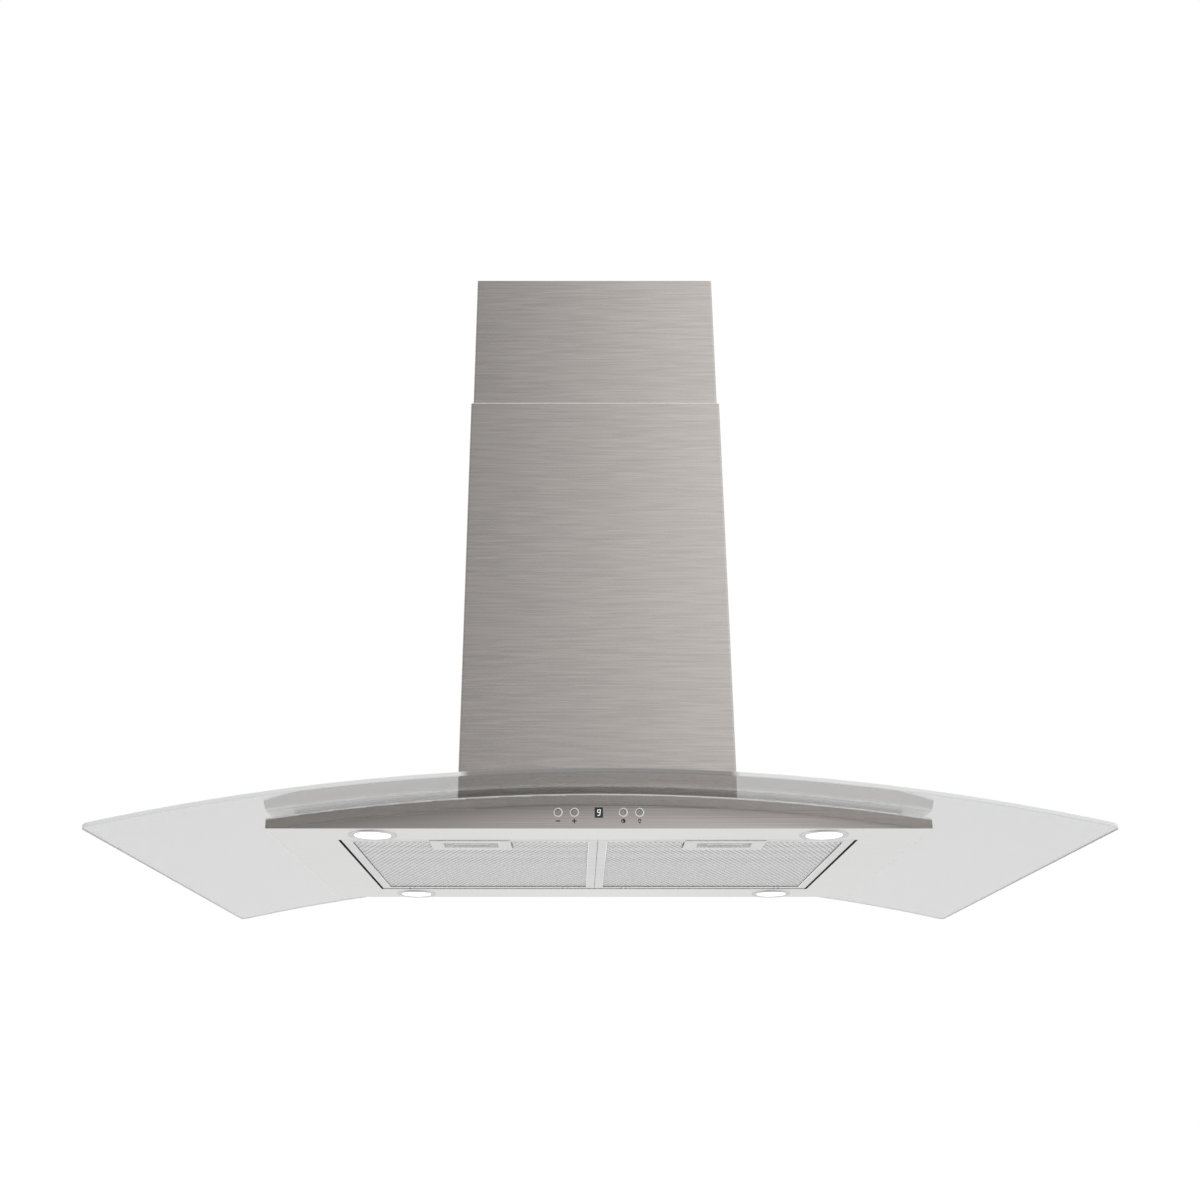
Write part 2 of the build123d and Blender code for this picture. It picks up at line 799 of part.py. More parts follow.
def volute_outline(grow):
    """The scroll's side view: four quarter arcs about the corners of a small square,
    each one step larger than the last, and a straight neck. grow is the wall added."""
    half = volute_step / 2
    centres = [(-half, half), (-half, -half), (half, -half), (half, half)]

    def spot(turn, angle):
        """A point on one of the four arcs, at this angle from the y axis."""
        radius = volute_start + grow + turn * volute_step
        y = scroll_y + centres[turn][0] + radius * cos(radians(angle))
        return (y, scroll_z + centres[turn][1] + radius * sin(radians(angle)))

    front = neck_y()[0] - grow
    lead = degrees(acos((front - scroll_y + half) / (volute_start + grow)))
    arcs = [ThreePointArc(spot(0, lead), spot(0, (lead + 90) / 2), spot(0, 90))]
    for turn in (1, 2, 3):
        start = 90 * turn
        arcs.append(ThreePointArc(spot(turn, start), spot(turn, start + 45), spot(turn, start + 90)))
    rear = spot(3, 360)
    top = box_top - box_sheet
    neck = Polyline(rear, (rear[0], top), (front, top), spot(0, lead))
    return make_face([*arcs, *neck.edges()])


def scroll_half(side):
    """Half of the scroll: a side wall with its flared inlet, and half of the curved wall."""
    half = scroll_width / 2
    start = -half if side < 0 else 0
    outside = extrude(Plane.YZ.offset(start) * volute_outline(scroll_wall), amount=half)
    room_start = -half + scroll_wall if side < 0 else 0
    inside = extrude(Plane.YZ.offset(room_start) * volute_outline(0), amount=half - scroll_wall)
    room_x = mirrored((0, half - scroll_wall), side)
    shell = outside - inside - block(room_x, neck_y(), (box_top - 2 * box_sheet, box_top))
    rim = rod_x(inlet_radius + inlet_rim, mirrored((half, half + inlet_lip), side), scroll_y, scroll_z)
    rim -= rod_x(inlet_radius, mirrored((half - 1, half + inlet_lip + 1), side), scroll_y, scroll_z)
    mouth = rim.faces().sort_by(Axis.X)[-1 if side > 0 else 0].inner_wires()[0].edges()
    rim = fillet(mouth, inlet_flare)
    eye = rod_x(inlet_radius, mirrored((half - 2 * scroll_wall, half), side), scroll_y, scroll_z)
    return shell - eye + rim


def impeller():
    """A double squirrel cage: curved blades between two end rings, on a middle disc."""
    half = impeller_width / 2
    outline = Circle(impeller_radius) - Circle(impeller_radius - blade_depth)
    reach = impeller_radius - blade_depth / 2
    curve = Circle(blade_hollow) - Circle(blade_hollow - blade_sheet)
    near_side = Pos(reach, 0) * Rectangle(blade_depth, blade_hollow)
    blade = Pos(reach, blade_sheet / 2 - blade_hollow) * curve & near_side
    blades = Sketch() + [
        Rot(0, 0, turn * 360 / blade_count) * blade for turn in range(blade_count)
    ]
    ring = Circle(impeller_radius) - Circle(impeller_radius - ring_depth)
    wheel = Pos(0, 0, -half) * extrude(blades & outline, amount=impeller_width)
    wheel += Pos(0, 0, -half) * extrude(ring, amount=impeller_ring)
    wheel += Pos(0, 0, half - impeller_ring) * extrude(ring, amount=impeller_ring)
    wheel += Pos(0, 0, -impeller_disc / 2) * extrude(Circle(impeller_radius), amount=impeller_disc)
    wheel += Pos(0, 0, -impeller_disc / 2) * extrude(Circle(hub_radius), amount=hub_length)
    wheel -= Pos(0, 0, -half) * extrude(Circle(shaft_radius), amount=impeller_width)
    return Pos(0, scroll_y, scroll_z) * Rot(0, 90, 0) * wheel


def motor_x():
    """The far and near ends of the motor, which sits in the left half of the impeller."""
    near = -impeller_disc / 2 - motor_disc_gap
    return (near - motor_length, near)


def motor_shaft():
    """The shaft from the motor's far bearing to the impeller's hub."""
    end = -impeller_disc / 2 + hub_length
    return rod_x(shaft_radius, (motor_x()[0] - shaft_end, end), scroll_y, scroll_z)


def motor_shell():
    """The motor's closed casing, with a bearing boss at each end and cooling grooves."""
    far, near = motor_x()
    body = rod_x(motor_radius, (far + motor_boss, near - motor_boss), scroll_y, scroll_z)
    body = chamfer(body.edges().filter_by(GeomType.CIRCLE), motor_bevel)
    for share in groove_places:
        x = far + share * motor_length
        width = (x - groove_width / 2, x + groove_width / 2)
        groove = rod_x(motor_radius + 1, width, scroll_y, scroll_z)
        body -= groove - rod_x(motor_radius - groove_depth, width, scroll_y, scroll_z)
    body += rod_x(hub_radius, (far, near), scroll_y, scroll_z)
    return body - rod_x(shaft_radius + shaft_clearance, (far - 1, near + 1), scroll_y, scroll_z)


def motor_bracket():
    """Three arms from a ring on the motor to the rim of the scroll's left inlet."""
    face = motor_x()[0] + motor_boss
    rim = -scroll_width / 2 - inlet_lip
    plate_x = (rim - arm_sheet, rim)
    reach = inlet_radius + inlet_rim
    bracket = rod_x(bracket_ring_radius, (plate_x[0], face), scroll_y, scroll_z)
    for turn in (90, 210, 330):
        arm = block(plate_x, (0, reach), (-arm_width / 2, arm_width / 2))
        bracket += Pos(0, scroll_y, scroll_z) * Rot(turn, 0, 0) * arm
    return bracket - rod_x(hub_radius, (plate_x[0] - 1, face + 1), scroll_y, scroll_z)


def blower_box():
    """The sheet-steel box round the scroll: open below, flanged, with the outlet on top."""
    half = box_width / 2
    inside = half - box_sheet
    shell = block((-half, half), (-half, half), (hanger_top, box_top))
    flange = half + box_flange
    shell += block((-flange, flange), (-flange, flange), (hanger_top, hanger_top + box_sheet))
    shell -= block((-inside, inside), (-inside, inside), (0, box_top - box_sheet))
    neck_x = scroll_width / 2 - scroll_wall
    shell -= block((-neck_x, neck_x), neck_y(), (box_top - 2 * box_sheet, box_top + 1))
    return shell - bolt_holes(bolt_hole_radius, (0.0, hanger_top + box_sheet + 1))


def duct_collar():
    """The moulded outlet: a flange on the box, a funnel from oblong to round, a spigot."""
    neck = neck_y()
    neck_x = scroll_width / 2 - scroll_wall
    middle = sum(neck) / 2
    depth = neck[1] - neck[0]
    flange_z = (box_top, box_top + adapter_sheet)
    outer = adapter_flange + adapter_sheet
    flange = block((-neck_x - outer, neck_x + outer), (neck[0] - outer, neck[1] + outer), flange_z)
    bore = spigot_radius - spigot_wall

    def funnel(grow, low, high):
        foot = Pos(0, middle, low) * Rectangle(2 * (neck_x + grow), depth + 2 * grow)
        head = Pos(0, duct_y, high) * Circle(bore + grow)
        return loft([foot, head])

    collar = flange + funnel(spigot_wall, box_top, spigot_foot)
    collar += rod_z(spigot_radius, 0, duct_y, (spigot_foot, spigot_top))
    collar -= funnel(0, box_top, spigot_foot)
    ledge_top = damper_z - flap_sheet / 2 - flap_seat_gap
    collar -= rod_z(bore, 0, duct_y, (ledge_top, spigot_top + 1))
    collar -= rod_z(bore - flap_ledge, 0, duct_y, (spigot_foot - 1, spigot_top))
    return collar - damper_pin()


def damper_pin():
    """The cross pin that both flaps hang on, with its ends in the spigot's wall."""
    half = spigot_radius - pin_inset
    return rod_x(damper_pin_radius, (-half, half), duct_y, damper_z)


def damper_flap(side):
    """A half-round flap. The rear one has one long knuckle, the front one a pair."""
    radius = spigot_radius - spigot_wall - flap_wall_gap
    sheet_z = (damper_z - flap_sheet / 2, damper_z + flap_sheet / 2)
    near = duct_y + side * (knuckle_radius + knuckle_gap)
    disc = rod_z(radius, 0, duct_y, sheet_z)
    flap = disc & block((-radius, radius), (near, duct_y + side * radius), sheet_z)
    if side > 0:
        knuckles = [(-knuckle_middle, knuckle_middle)]
    else:
        start = knuckle_middle + knuckle_gap
        knuckles = [(-knuckle_end, -start), (start, knuckle_end)]
    for x in knuckles:
        flap += rod_x(knuckle_radius, x, duct_y, damper_z)
        flap += block(x, (duct_y, near), sheet_z)
    bore = damper_pin_radius + knuckle_clearance
    return flap - rod_x(bore, (-radius - 1, radius + 1), duct_y, damper_z)


# ---- Electrical pieces -------------------------------------------------------------------
def wiring_places():
    """x and y of the wiring box, round the cable's place."""
    left = cable_x - gland_nut_radius - wiring_edge
    return (left, left + wiring_width), (cable_y - wiring_depth / 2, cable_y + wiring_depth / 2)


def wiring_box():
    """The open-topped box for the mains terminals, on the blower box."""
    x, y = wiring_places()
    shell = block(x, y, (box_top, box_top + wiring_height))
    inside_x = (x[0] + wiring_wall, x[1] - wiring_wall)
    inside_y = (y[0] + wiring_wall, y[1] - wiring_wall)
    return shell - block(inside_x, inside_y, (box_top + wiring_wall, hood_height))


def lid_z():
    """Bottom and top of the wiring box's lid."""
    foot = box_top + wiring_height
    return (foot, foot + wiring_lid_sheet)


def wiring_lid():
    """The lid, with the cable gland's hole."""
    low, high = lid_z()
    hole = rod_z(gland_radius, cable_x, cable_y, (low - 1, high + 1))
    return block(*wiring_places(), (low, high)) - hole


def cable_gland():
    """The gland that the supply cable enters by."""
    low, high = lid_z()
    ends = (low - gland_stub, high + gland_height)
    body = rod_z(gland_radius, cable_x, cable_y, ends)
    nut = Pos(cable_x, cable_y, high) * extrude(RegularPolygon(gland_nut_radius, 6), gland_nut_height)
    return body + nut - rod_z(gland_bore, cable_x, cable_y, (ends[0] - 1, ends[1] + 1))


# ---- Tower and chimney covers ------------------------------------------------------------
def angle_upright(side_x, side_y, outside, z):
    """One angle-section upright with its corner at outside, outside."""
    leg = (outside, outside - angle_leg)
    thin = (outside, outside - angle_sheet)
    along_x = block(mirrored(leg, side_x), mirrored(thin, side_y), z)
    along_y = block(mirrored(thin, side_x), mirrored(leg, side_y), z)
    return along_x + along_y


def ceiling_plate():
    """The folded plate on the ceiling, with its bolt holes, duct hole and cable hole."""
    half = ceiling_half
    inside = half - ceiling_flange_sheet
    underside = hood_height - ceiling_sheet
    plate = post(half, half, cover_bend, (hood_height - ceiling_flange, hood_height))
    plate -= block((-inside, inside), (-inside, inside), (0, underside))
    reach = (underside - 1, hood_height + 1)
    plate -= rod_z(duct_hole_radius, 0, duct_y, reach)
    plate -= rod_z(cable_hole_radius, cable_x, cable_y, reach)
    place = ceiling_bolt_spacing / 2
    for side_x, side_y in corners.values():
        plate -= rod_z(ceiling_bolt_hole, side_x * place, side_y * place, reach)
    for side in (-1, 1):
        plate -= upper_screw(side)
    return plate


def tower_brace():
    """A flanged square ring that keeps the lower uprights apart at their top."""
    half = upright_inside - angle_sheet
    inside = half - brace_sheet
    ring = block((-half, half), (-half, half), (brace_foot, brace_top))
    ring -= block((-inside, inside), (-inside, inside), (0, brace_top - brace_sheet))
    reach = (brace_top - brace_sheet - 1, brace_top + 1)
    ring -= rod_z(duct_hole_radius, 0, duct_y, reach)
    return ring - rod_z(cable_hole_radius, cable_x, cable_y, reach)


def frame_screws():
    """Eight low-head screws that join the upper uprights to the lower ones, under the brace."""
    z = (brace_foot + upper_upright_foot) / 2
    outside = upper_upright_outside
    along = outside - angle_leg / 2
    screws = []
    for side_x, side_y in corners.values():
        span = (outside - 2 * angle_sheet - frame_screw_end, outside + frame_screw_head_height)
        head = (outside, outside + frame_screw_head_height)
        screws.append(
            rod_x(frame_screw_radius, mirrored(span, side_x), side_y * along, z)
            + rod_x(frame_screw_head, mirrored(head, side_x), side_y * along, z)
        )
        screws.append(
            rod_y(frame_screw_radius, side_x * along, mirrored(span, side_y), z)
            + rod_y(frame_screw_head, side_x * along, mirrored(head, side_y), z)
        )
    return screws


def uprights(outside, z):
    """Four angle uprights, one at each corner, with the holes of the frame screws."""
    screws = frame_screws()
    return [
        angle_upright(side_x, side_y, outside, z) - screws
        for side_x, side_y in corners.values()
    ]


def cover_screw(side, seat, z):
    """A screw through a cover's side wall, with its head outside, on its seat."""
    shank = rod_x(cover_screw_radius, mirrored((seat - cover_screw_length, seat), side), 0, z)
    head = mirrored((seat, seat + cover_screw_head_height), side)
    return shank + rod_x(cover_screw_head, head, 0, z)


def upper_screw(side):
    """A screw in the ceiling plate's flange, whose head just clears the upper cover."""
    z = upper_top - notch_depth + notch_width / 2 + cover_screw_radius
    return cover_screw(side, upper_half + cover_screw_gap, z)


def bracket_z():
    """Bottom and top of the brackets that hold the lower cover."""
    return (hanger_foot + bracket_margin, hanger_foot + hanger_wall - bracket_margin)


def lower_screw(side):
    """A screw through the lower cover into its bracket."""
    return cover_screw(side, cover_half, sum(bracket_z()) / 2)


def cover_bracket(side):
    """A bent strip from the hanger frame's wall out to the lower cover."""
    inner = hanger_width / 2
    outer = cover_half - cover_sheet
    z = bracket_z()
    end = bracket_width / 2
    bend = bracket_middle / 2
    strip = block(mirrored((inner, outer), side), (-end, end), z)
    strip -= block(mirrored((inner, outer - angle_sheet), side), (-bend, bend), z)
    for turn in (-1, 1):
        wing = mirrored((bend + angle_sheet, end), turn)
        strip -= block(mirrored((inner + angle_sheet, outer), side), wing, z)
    return strip - lower_screw(side)


def lower_chimney_cover():
    """The lower square cover: its foot follows the glass and its top edge is hemmed."""
    half = cover_half
    inside = half - cover_sheet
    hem_inside = upper_half + cover_slide_gap
    tube = post(half, half, cover_bend, (0, cover_step))
    tube = fillet(tube.faces().sort_by(Axis.Z)[-1].edges(), cover_hem_round)
    tube -= post(inside, inside, cover_bend - cover_sheet, (-1, cover_step - cover_hem))
    tube -= post(hem_inside, hem_inside, cover_bend - cover_sheet, (-1, cover_step + 1))
    tube -= arch_fill(half + 1, (-half - 1, half + 1), -1, glass_top_radius)
    for side in (-1, 1):
        tube -= lower_screw(side)
    return tube


def upper_chimney_cover():
    """The upper square cover, which slides down inside the lower one when it is let go."""
    half = upper_half
    inside = half - cover_sheet
    z = (upper_top - upper_length, upper_top)
    tube = post(half, half, cover_bend, z)
    tube -= post(inside, inside, cover_bend - cover_sheet, (z[0] - 1, z[1] + 1))
    notch_foot = upper_top - notch_depth + notch_width / 2
    for side in (-1, 1):
        wall = mirrored((inside - 1, half + 1), side)
        tube -= block(wall, (-notch_width / 2, notch_width / 2), (notch_foot, upper_top + 1))
        tube -= rod_x(notch_width / 2, wall, 0, notch_foot)
    return tube


# ---- Writing the nodes -------------------------------------------------------------------
def main():
    os.makedirs("parts", exist_ok=True)

    save("glass_canopy", glass_canopy())
    save("perimeter_seal", perimeter_seal())
    save("throat_seal", throat_seal())
    save("upper_gasket", upper_gasket())
    save("front_fascia", front_fascia())
    save("rear_fascia", rear_fascia())
    save("base_pan", base_pan())
    save("top_deck", top_deck())
    save("hanger_frame", hanger_frame())
    save("clamp_bolts", *clamp_bolts())

    for name, (side_x, side_y) in corners.items():
        y = lamp_front if side_y < 0 else lamp_rear
        save(f"lamp_housing_{name}", lamp_housing(side_x * lamp_x, y))
        save(f"lamp_lens_{name}", lamp_lens(side_x * lamp_x, y))

    save("control_carrier", control_carrier())
    save("control_board", control_board())
    save("display_window", display_window())
    save("button_rings", *[button_ring(x) for x in button_places])
    for name, x in zip(("minus", "plus", "timer", "lamp"), button_places):
        save(f"button_{name}", button_cap(x))

    for name, side in sides.items():
        save(f"filter_frame_{name}", filter_frame(side))
        save(f"filter_mesh_{name}", filter_mesh(side))
        save(f"catch_plate_{name}", catch_plate(side))
        save(f"catch_slide_{name}", catch_slide(side))
        save(f"catch_spring_{name}", catch_spring(side))
        save(f"filter_keeper_{name}", filter_keeper(side))

    save("blower_box", blower_box())
    for name, side in sides.items():
        save(f"scroll_{name}", scroll_half(side))
    save("impeller", impeller())
    save("motor_shaft", motor_shaft())
    save("motor_shell", motor_shell())
    save("motor_bracket", motor_bracket())
    save("duct_collar", duct_collar())
    save("damper_pin", damper_pin())
    save("damper_flap_front", damper_flap(-1))
    save("damper_flap_rear", damper_flap(1))
    save("wiring_box", wiring_box())
    save("wiring_lid", wiring_lid())
    save("cable_gland", cable_gland())

    save("lower_uprights", *uprights(upright_inside, (hanger_top, lower_upright_top)))
    upper_z = (upper_upright_foot, hood_height - ceiling_sheet)
    save("upper_uprights", *uprights(upper_upright_outside, upper_z))
    save("tower_brace", tower_brace())
    save("ceiling_plate", ceiling_plate())
    save("cover_brackets", *[cover_bracket(side) for side in (-1, 1)])
    cover_screws = [screw(side) for screw in (upper_screw, lower_screw) for side in (-1, 1)]
    save("chimney_screws", *frame_screws(), *cover_screws)
    save("lower_chimney_cover", lower_chimney_cover())
    save("upper_chimney_cover", upper_chimney_cover())


main()
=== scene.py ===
import math

import bmesh
import bpy
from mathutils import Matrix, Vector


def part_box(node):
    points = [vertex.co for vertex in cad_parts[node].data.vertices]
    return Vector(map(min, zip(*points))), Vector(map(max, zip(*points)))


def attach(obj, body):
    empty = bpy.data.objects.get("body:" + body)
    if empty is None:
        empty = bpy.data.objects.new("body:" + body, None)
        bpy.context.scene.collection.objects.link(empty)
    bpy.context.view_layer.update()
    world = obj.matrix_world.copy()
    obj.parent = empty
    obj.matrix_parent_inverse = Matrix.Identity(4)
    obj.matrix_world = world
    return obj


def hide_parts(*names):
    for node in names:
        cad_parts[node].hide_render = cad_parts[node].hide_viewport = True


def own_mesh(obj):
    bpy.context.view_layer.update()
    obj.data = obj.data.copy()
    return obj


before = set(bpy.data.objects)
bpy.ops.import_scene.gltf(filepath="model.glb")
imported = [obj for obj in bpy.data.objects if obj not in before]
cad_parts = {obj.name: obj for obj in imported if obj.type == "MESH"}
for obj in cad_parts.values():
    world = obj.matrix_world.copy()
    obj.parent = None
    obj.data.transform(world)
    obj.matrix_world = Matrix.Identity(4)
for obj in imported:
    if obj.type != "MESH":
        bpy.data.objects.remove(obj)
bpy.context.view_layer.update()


# ---- Ceiling plate, uprights and brace ----------------------------------------------------
# The tower that carries the hood: folded and cut from zinc-coated steel sheet, bolted to
# the ceiling. The coating shows large soft crystals, duller where the sheet was handled.
def new_group(name, inputs, outputs):
    """A shader node group with its named inputs (name, type, value) and outputs (name, type)."""
    group = bpy.data.node_groups.new(name, "ShaderNodeTree")
    for label, kind, value in inputs:
        socket = group.interface.new_socket(name=label, in_out="INPUT", socket_type=kind)
        if value is not None:
            socket.default_value = value
    for label, kind in outputs:
        group.interface.new_socket(name=label, in_out="OUTPUT", socket_type=kind)
    return group, group.nodes.new("NodeGroupInput"), group.nodes.new("NodeGroupOutput")


def add(tree, kind, inputs=None, **settings):
    """A node with its settings; each input is given a value or another node's output."""
    node = tree.nodes.new(kind)
    for key, value in settings.items():
        setattr(node, key, value)
    for key, value in (inputs or {}).items():
        if isinstance(value, bpy.types.NodeSocket):
            tree.links.new(value, node.inputs[key])
        else:
            node.inputs[key].default_value = value
    return node


def new_finish(name, fixed):
    """A material, its node tree and its shader, with these values on the shader's sockets."""
    material = bpy.data.materials.new(name)
    material.use_nodes = True
    tree = material.node_tree
    shader = tree.nodes["Principled BSDF"]
    for socket, value in fixed.items():
        shader.inputs[socket].default_value = value
    return material, tree, shader


def place_in(tree):
    """Where a point of the piece lies, in metres, moving with the piece."""
    return add(tree, "ShaderNodeTexCoord").outputs["Object"]


def calc(tree, operation, first, second=None):
    """One sum on numbers or sockets."""
    inputs = {0: first} if second is None else {0: first, 1: second}
    return add(tree, "ShaderNodeMath", inputs, operation=operation).outputs[0]


def rescale(tree, value, start, end, low=0.0, high=1.0, kind="LINEAR"):
    """Turns start to end into low to high, and holds the ends beyond them."""
    node = add(tree, "ShaderNodeMapRange", {
        "Value": value, "From Min": start, "From Max": end, "To Min": low, "To Max": high},
        interpolation_type=kind)
    return node.outputs["Result"]


def blend_colours(tree, mask, first, second):
    """The first colour where the mask is 0, the second where it is 1."""
    node = add(tree, "ShaderNodeMix", data_type="RGBA")
    tree.links.new(mask, node.inputs[0])
    for slot, colour in ((6, first), (7, second)):
        if isinstance(colour, bpy.types.NodeSocket):
            tree.links.new(colour, node.inputs[slot])
        else:
            node.inputs[slot].default_value = (*colour, 1.0)
    return node.outputs[2]


def tint(tree, shader, mask, first, second):
    """Lets a mask turn the surface from the first colour to the second."""
    tree.links.new(blend_colours(tree, mask, first, second), shader.inputs["Base Color"])


def gloss(tree, shader, mask, smooth, rough):
    """Lets a mask turn the surface's roughness from smooth to rough."""
    roughness = rescale(tree, mask, 0.0, 1.0, smooth, rough)
    tree.links.new(roughness, shader.inputs["Roughness"])


def relief(tree, shader, height, depth):
    """Lets a height mask raise the surface by at most depth metres."""
    bump = add(tree, "ShaderNodeBump", {"Height": height, "Distance": depth, "Strength": 1.0})
    tree.links.new(bump.outputs["Normal"], shader.inputs["Normal"])


def dress(nodes, material):
    """Gives CAD nodes their finish."""
    for name in nodes:
        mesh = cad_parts[name].data
        mesh.materials.clear()
        mesh.materials.append(material)


def make_handling_marks():
    """Soft patches left by hands and wiping, about Patch Size metres across."""
    group, given, out = new_group(
        "handling_marks",
        [("Vector", "NodeSocketVector", None), ("Patch Size", "NodeSocketFloat", 0.05)],
        [("Mask", "NodeSocketFloat")],
    )
    per_metre = calc(group, "DIVIDE", 1.0, given.outputs["Patch Size"])
    patches = add(group, "ShaderNodeTexNoise", {
        "Vector": given.outputs["Vector"], "Scale": per_metre, "Detail": 4.0, "Roughness": 0.6})
    mask = rescale(group, patches.outputs["Fac"], start=0.35, end=0.68, kind="SMOOTHSTEP")
    group.links.new(mask, out.inputs["Mask"])
    return group


handling_marks = make_handling_marks()


def marks(tree, patch):
    """The handling marks on one material, in patches of this many metres."""
    node = add(tree, "ShaderNodeGroup", {"Vector": place_in(tree), "Patch Size": patch},
               node_tree=handling_marks)
    return node.outputs["Mask"]


zinc_light = (0.60, 0.62, 0.63)
zinc_dark = (0.42, 0.44, 0.455)
zinc_crystal = 0.011          # across one crystal

zinc_coat, tree, shader = new_finish("zinc_coat", {"Metallic": 0.9})
crystals = add(tree, "ShaderNodeTexVoronoi", {
    "Vector": place_in(tree), "Scale": 1 / zinc_crystal})
crystal_tone = add(tree, "ShaderNodeSeparateColor", {
    "Color": crystals.outputs["Color"]}).outputs[0]
handled = calc(tree, "MULTIPLY", crystal_tone, marks(tree, patch=0.06))
tint(tree, shader, crystal_tone, zinc_dark, zinc_light)
gloss(tree, shader, handled, smooth=0.34, rough=0.56)
relief(tree, shader, crystal_tone, depth=0.00003)
dress(["ceiling_plate", "lower_uprights", "upper_uprights", "tower_brace"], zinc_coat)


# ---- Hanger frame, clamp bolts, brackets and screws ---------------------------------------
# The folded frame on the glass and the bent strips that hold the lower cover, both of the
# same sheet. The bolts, nuts and screws are bright zinc-plated and slightly worn.
def speckle(tree, per_metre, detail=2.0):
    """Fine unevenness, as a mask with this many spots to the metre."""
    noise = add(tree, "ShaderNodeTexNoise", {
        "Vector": place_in(tree), "Scale": per_metre, "Detail": detail})
    return noise.outputs["Fac"]


plated_light = (0.72, 0.72, 0.70)
plated_worn = (0.50, 0.50, 0.47)

plated_steel, tree, shader = new_finish("plated_steel", {"Metallic": 1.0})
turning = speckle(tree, per_metre=1400.0)
tint(tree, shader, marks(tree, patch=0.004), plated_light, plated_worn)
gloss(tree, shader, turning, smooth=0.18, rough=0.38)
relief(tree, shader, turning, depth=0.00002)
dress(["clamp_bolts", "chimney_screws"], plated_steel)
dress(["hanger_frame", "cover_brackets"], zinc_coat)


# ---- Chimney covers -----------------------------------------------------------------------
# Two square tubes folded from brushed stainless sheet; the upper one slides in the lower.
# The brushing runs level round the tubes, in fine streaks a few centimetres long.
def mixed(tree, share, first, second):
    """The first value where share is 0, the second where it is 1."""
    node = add(tree, "ShaderNodeMix", {0: share, 2: first, 3: second}, data_type="FLOAT")
    return node.outputs[0]


coarse_scale = 0.37           # of the broad streaks, against the fine ones
coarse_share = 0.06
wiped_share = 0.4             # of the gloss that handling decides, not the streaks


def make_brushed_grain():
    """Long fine streaks: Stretch gives the streaks per metre along each axis."""
    group, given, out = new_group(
        "brushed_grain",
        [("Vector", "NodeSocketVector", None),
         ("Stretch", "NodeSocketVector", (20.0, 20.0, 900.0))],
        [("Tone", "NodeSocketFloat"), ("Height", "NodeSocketFloat")],
    )
    stretched = add(group, "ShaderNodeVectorMath", {
        0: given.outputs["Vector"], 1: given.outputs["Stretch"]}, operation="MULTIPLY").outputs[0]
    fine = add(group, "ShaderNodeTexNoise", {
        "Vector": stretched, "Scale": 1.0, "Detail": 0.5, "Roughness": 0.6}).outputs["Fac"]
    coarse = add(group, "ShaderNodeTexNoise", {
        "Vector": stretched, "Scale": coarse_scale, "Detail": 3.0,
        "Roughness": 0.6}).outputs["Fac"]
    tone = rescale(group, mixed(group, coarse_share, fine, coarse), start=0.3, end=0.7)
    group.links.new(tone, out.inputs["Tone"])
    group.links.new(fine, out.inputs["Height"])
    return group


brushed_grain = make_brushed_grain()


def brushed_sheet(name, light, dark, stretch, smooth, rough, grain_depth, turned, drawn=0.7):
    """Brushed metal: streaks in tone, gloss and relief. turned is the brushing's direction,
    drawn how far it stretches the reflections."""
    material, tree, shader = new_finish(
        name, {"Metallic": 1.0, "Anisotropic": drawn, "Anisotropic Rotation": turned})
    grain = add(tree, "ShaderNodeGroup", {"Vector": place_in(tree), "Stretch": stretch},
                node_tree=brushed_grain)
    tone = grain.outputs["Tone"]
    tint(tree, shader, tone, dark, light)
    gloss(tree, shader, mixed(tree, wiped_share, tone, marks(tree, patch=0.12)), smooth, rough)
    relief(tree, shader, grain.outputs["Height"], grain_depth)
    return material


steel_light = (0.59, 0.554, 0.527)
steel_dark = (0.495, 0.465, 0.442)
level_streaks = (26.0, 26.0, 1000.0)

chimney_steel = brushed_sheet(
    "chimney_steel", steel_light, steel_dark, level_streaks,
    smooth=0.26, rough=0.30, grain_depth=0.000008, turned=0.25)
dress(["lower_chimney_cover", "upper_chimney_cover"], chimney_steel)

bend_highlight_pale = (0.95, 0.945, 0.935)
bend_highlight_deep = (0.88, 0.875, 0.865)
bend_foot = 0.08              # upward part of a face's normal where a bend leaves the wall
bend_top = 0.97               # and where it reaches the flat top

# Painted highlight: a near-white, half-metallic colour on the bends, so that they render as bright
# lines.
bend_painted_highlight, tree, shader = new_finish("bend_painted_highlight", {"Metallic": 0.4})
highlight_speckle = speckle(tree, per_metre=900.0)
tint(tree, shader, highlight_speckle, bend_highlight_deep, bend_highlight_pale)
gloss(tree, shader, highlight_speckle, smooth=0.35, rough=0.5)


def paint_bend_highlights(name):
    """The rounded top edge of a folded sheet, given a pale painted highlight that makes it brighter
    than its faces.
    """
    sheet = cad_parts[name].data
    sheet.materials.append(bend_painted_highlight)
    for face in sheet.polygons:
        if bend_foot < face.normal.z < bend_top:
            face.material_index = 1


paint_bend_highlights("lower_chimney_cover")


# ---- Glass canopy with its seals -----------------------------------------------------------
# A 4 mm toughened pane, bent in one curve, clear with a faint grey cast and ground edges.
# It lies on rubber, and a rubber ring with sleeves for the bolts lies on it.
glass_tint = (0.655, 0.655, 0.655)
glass_shadow = (0.86, 0.87, 0.87)

canopy_glass, tree, shader = new_finish("canopy_glass", {
    "Base Color": (*glass_tint, 1.0), "Roughness": 0.0, "IOR": 1.5, "Transmission Weight": 1.0})
shadow_pass = add(tree, "ShaderNodeBsdfTransparent", {"Color": (*glass_shadow, 1.0)})
seen_by = add(tree, "ShaderNodeLightPath")
chosen = add(tree, "ShaderNodeMixShader", {
    0: seen_by.outputs["Is Shadow Ray"], 1: shader.outputs["BSDF"], 2: shadow_pass.outputs["BSDF"]})
tree.links.new(chosen.outputs["Shader"], tree.nodes["Material Output"].inputs["Surface"])
dress(["glass_canopy"], canopy_glass)

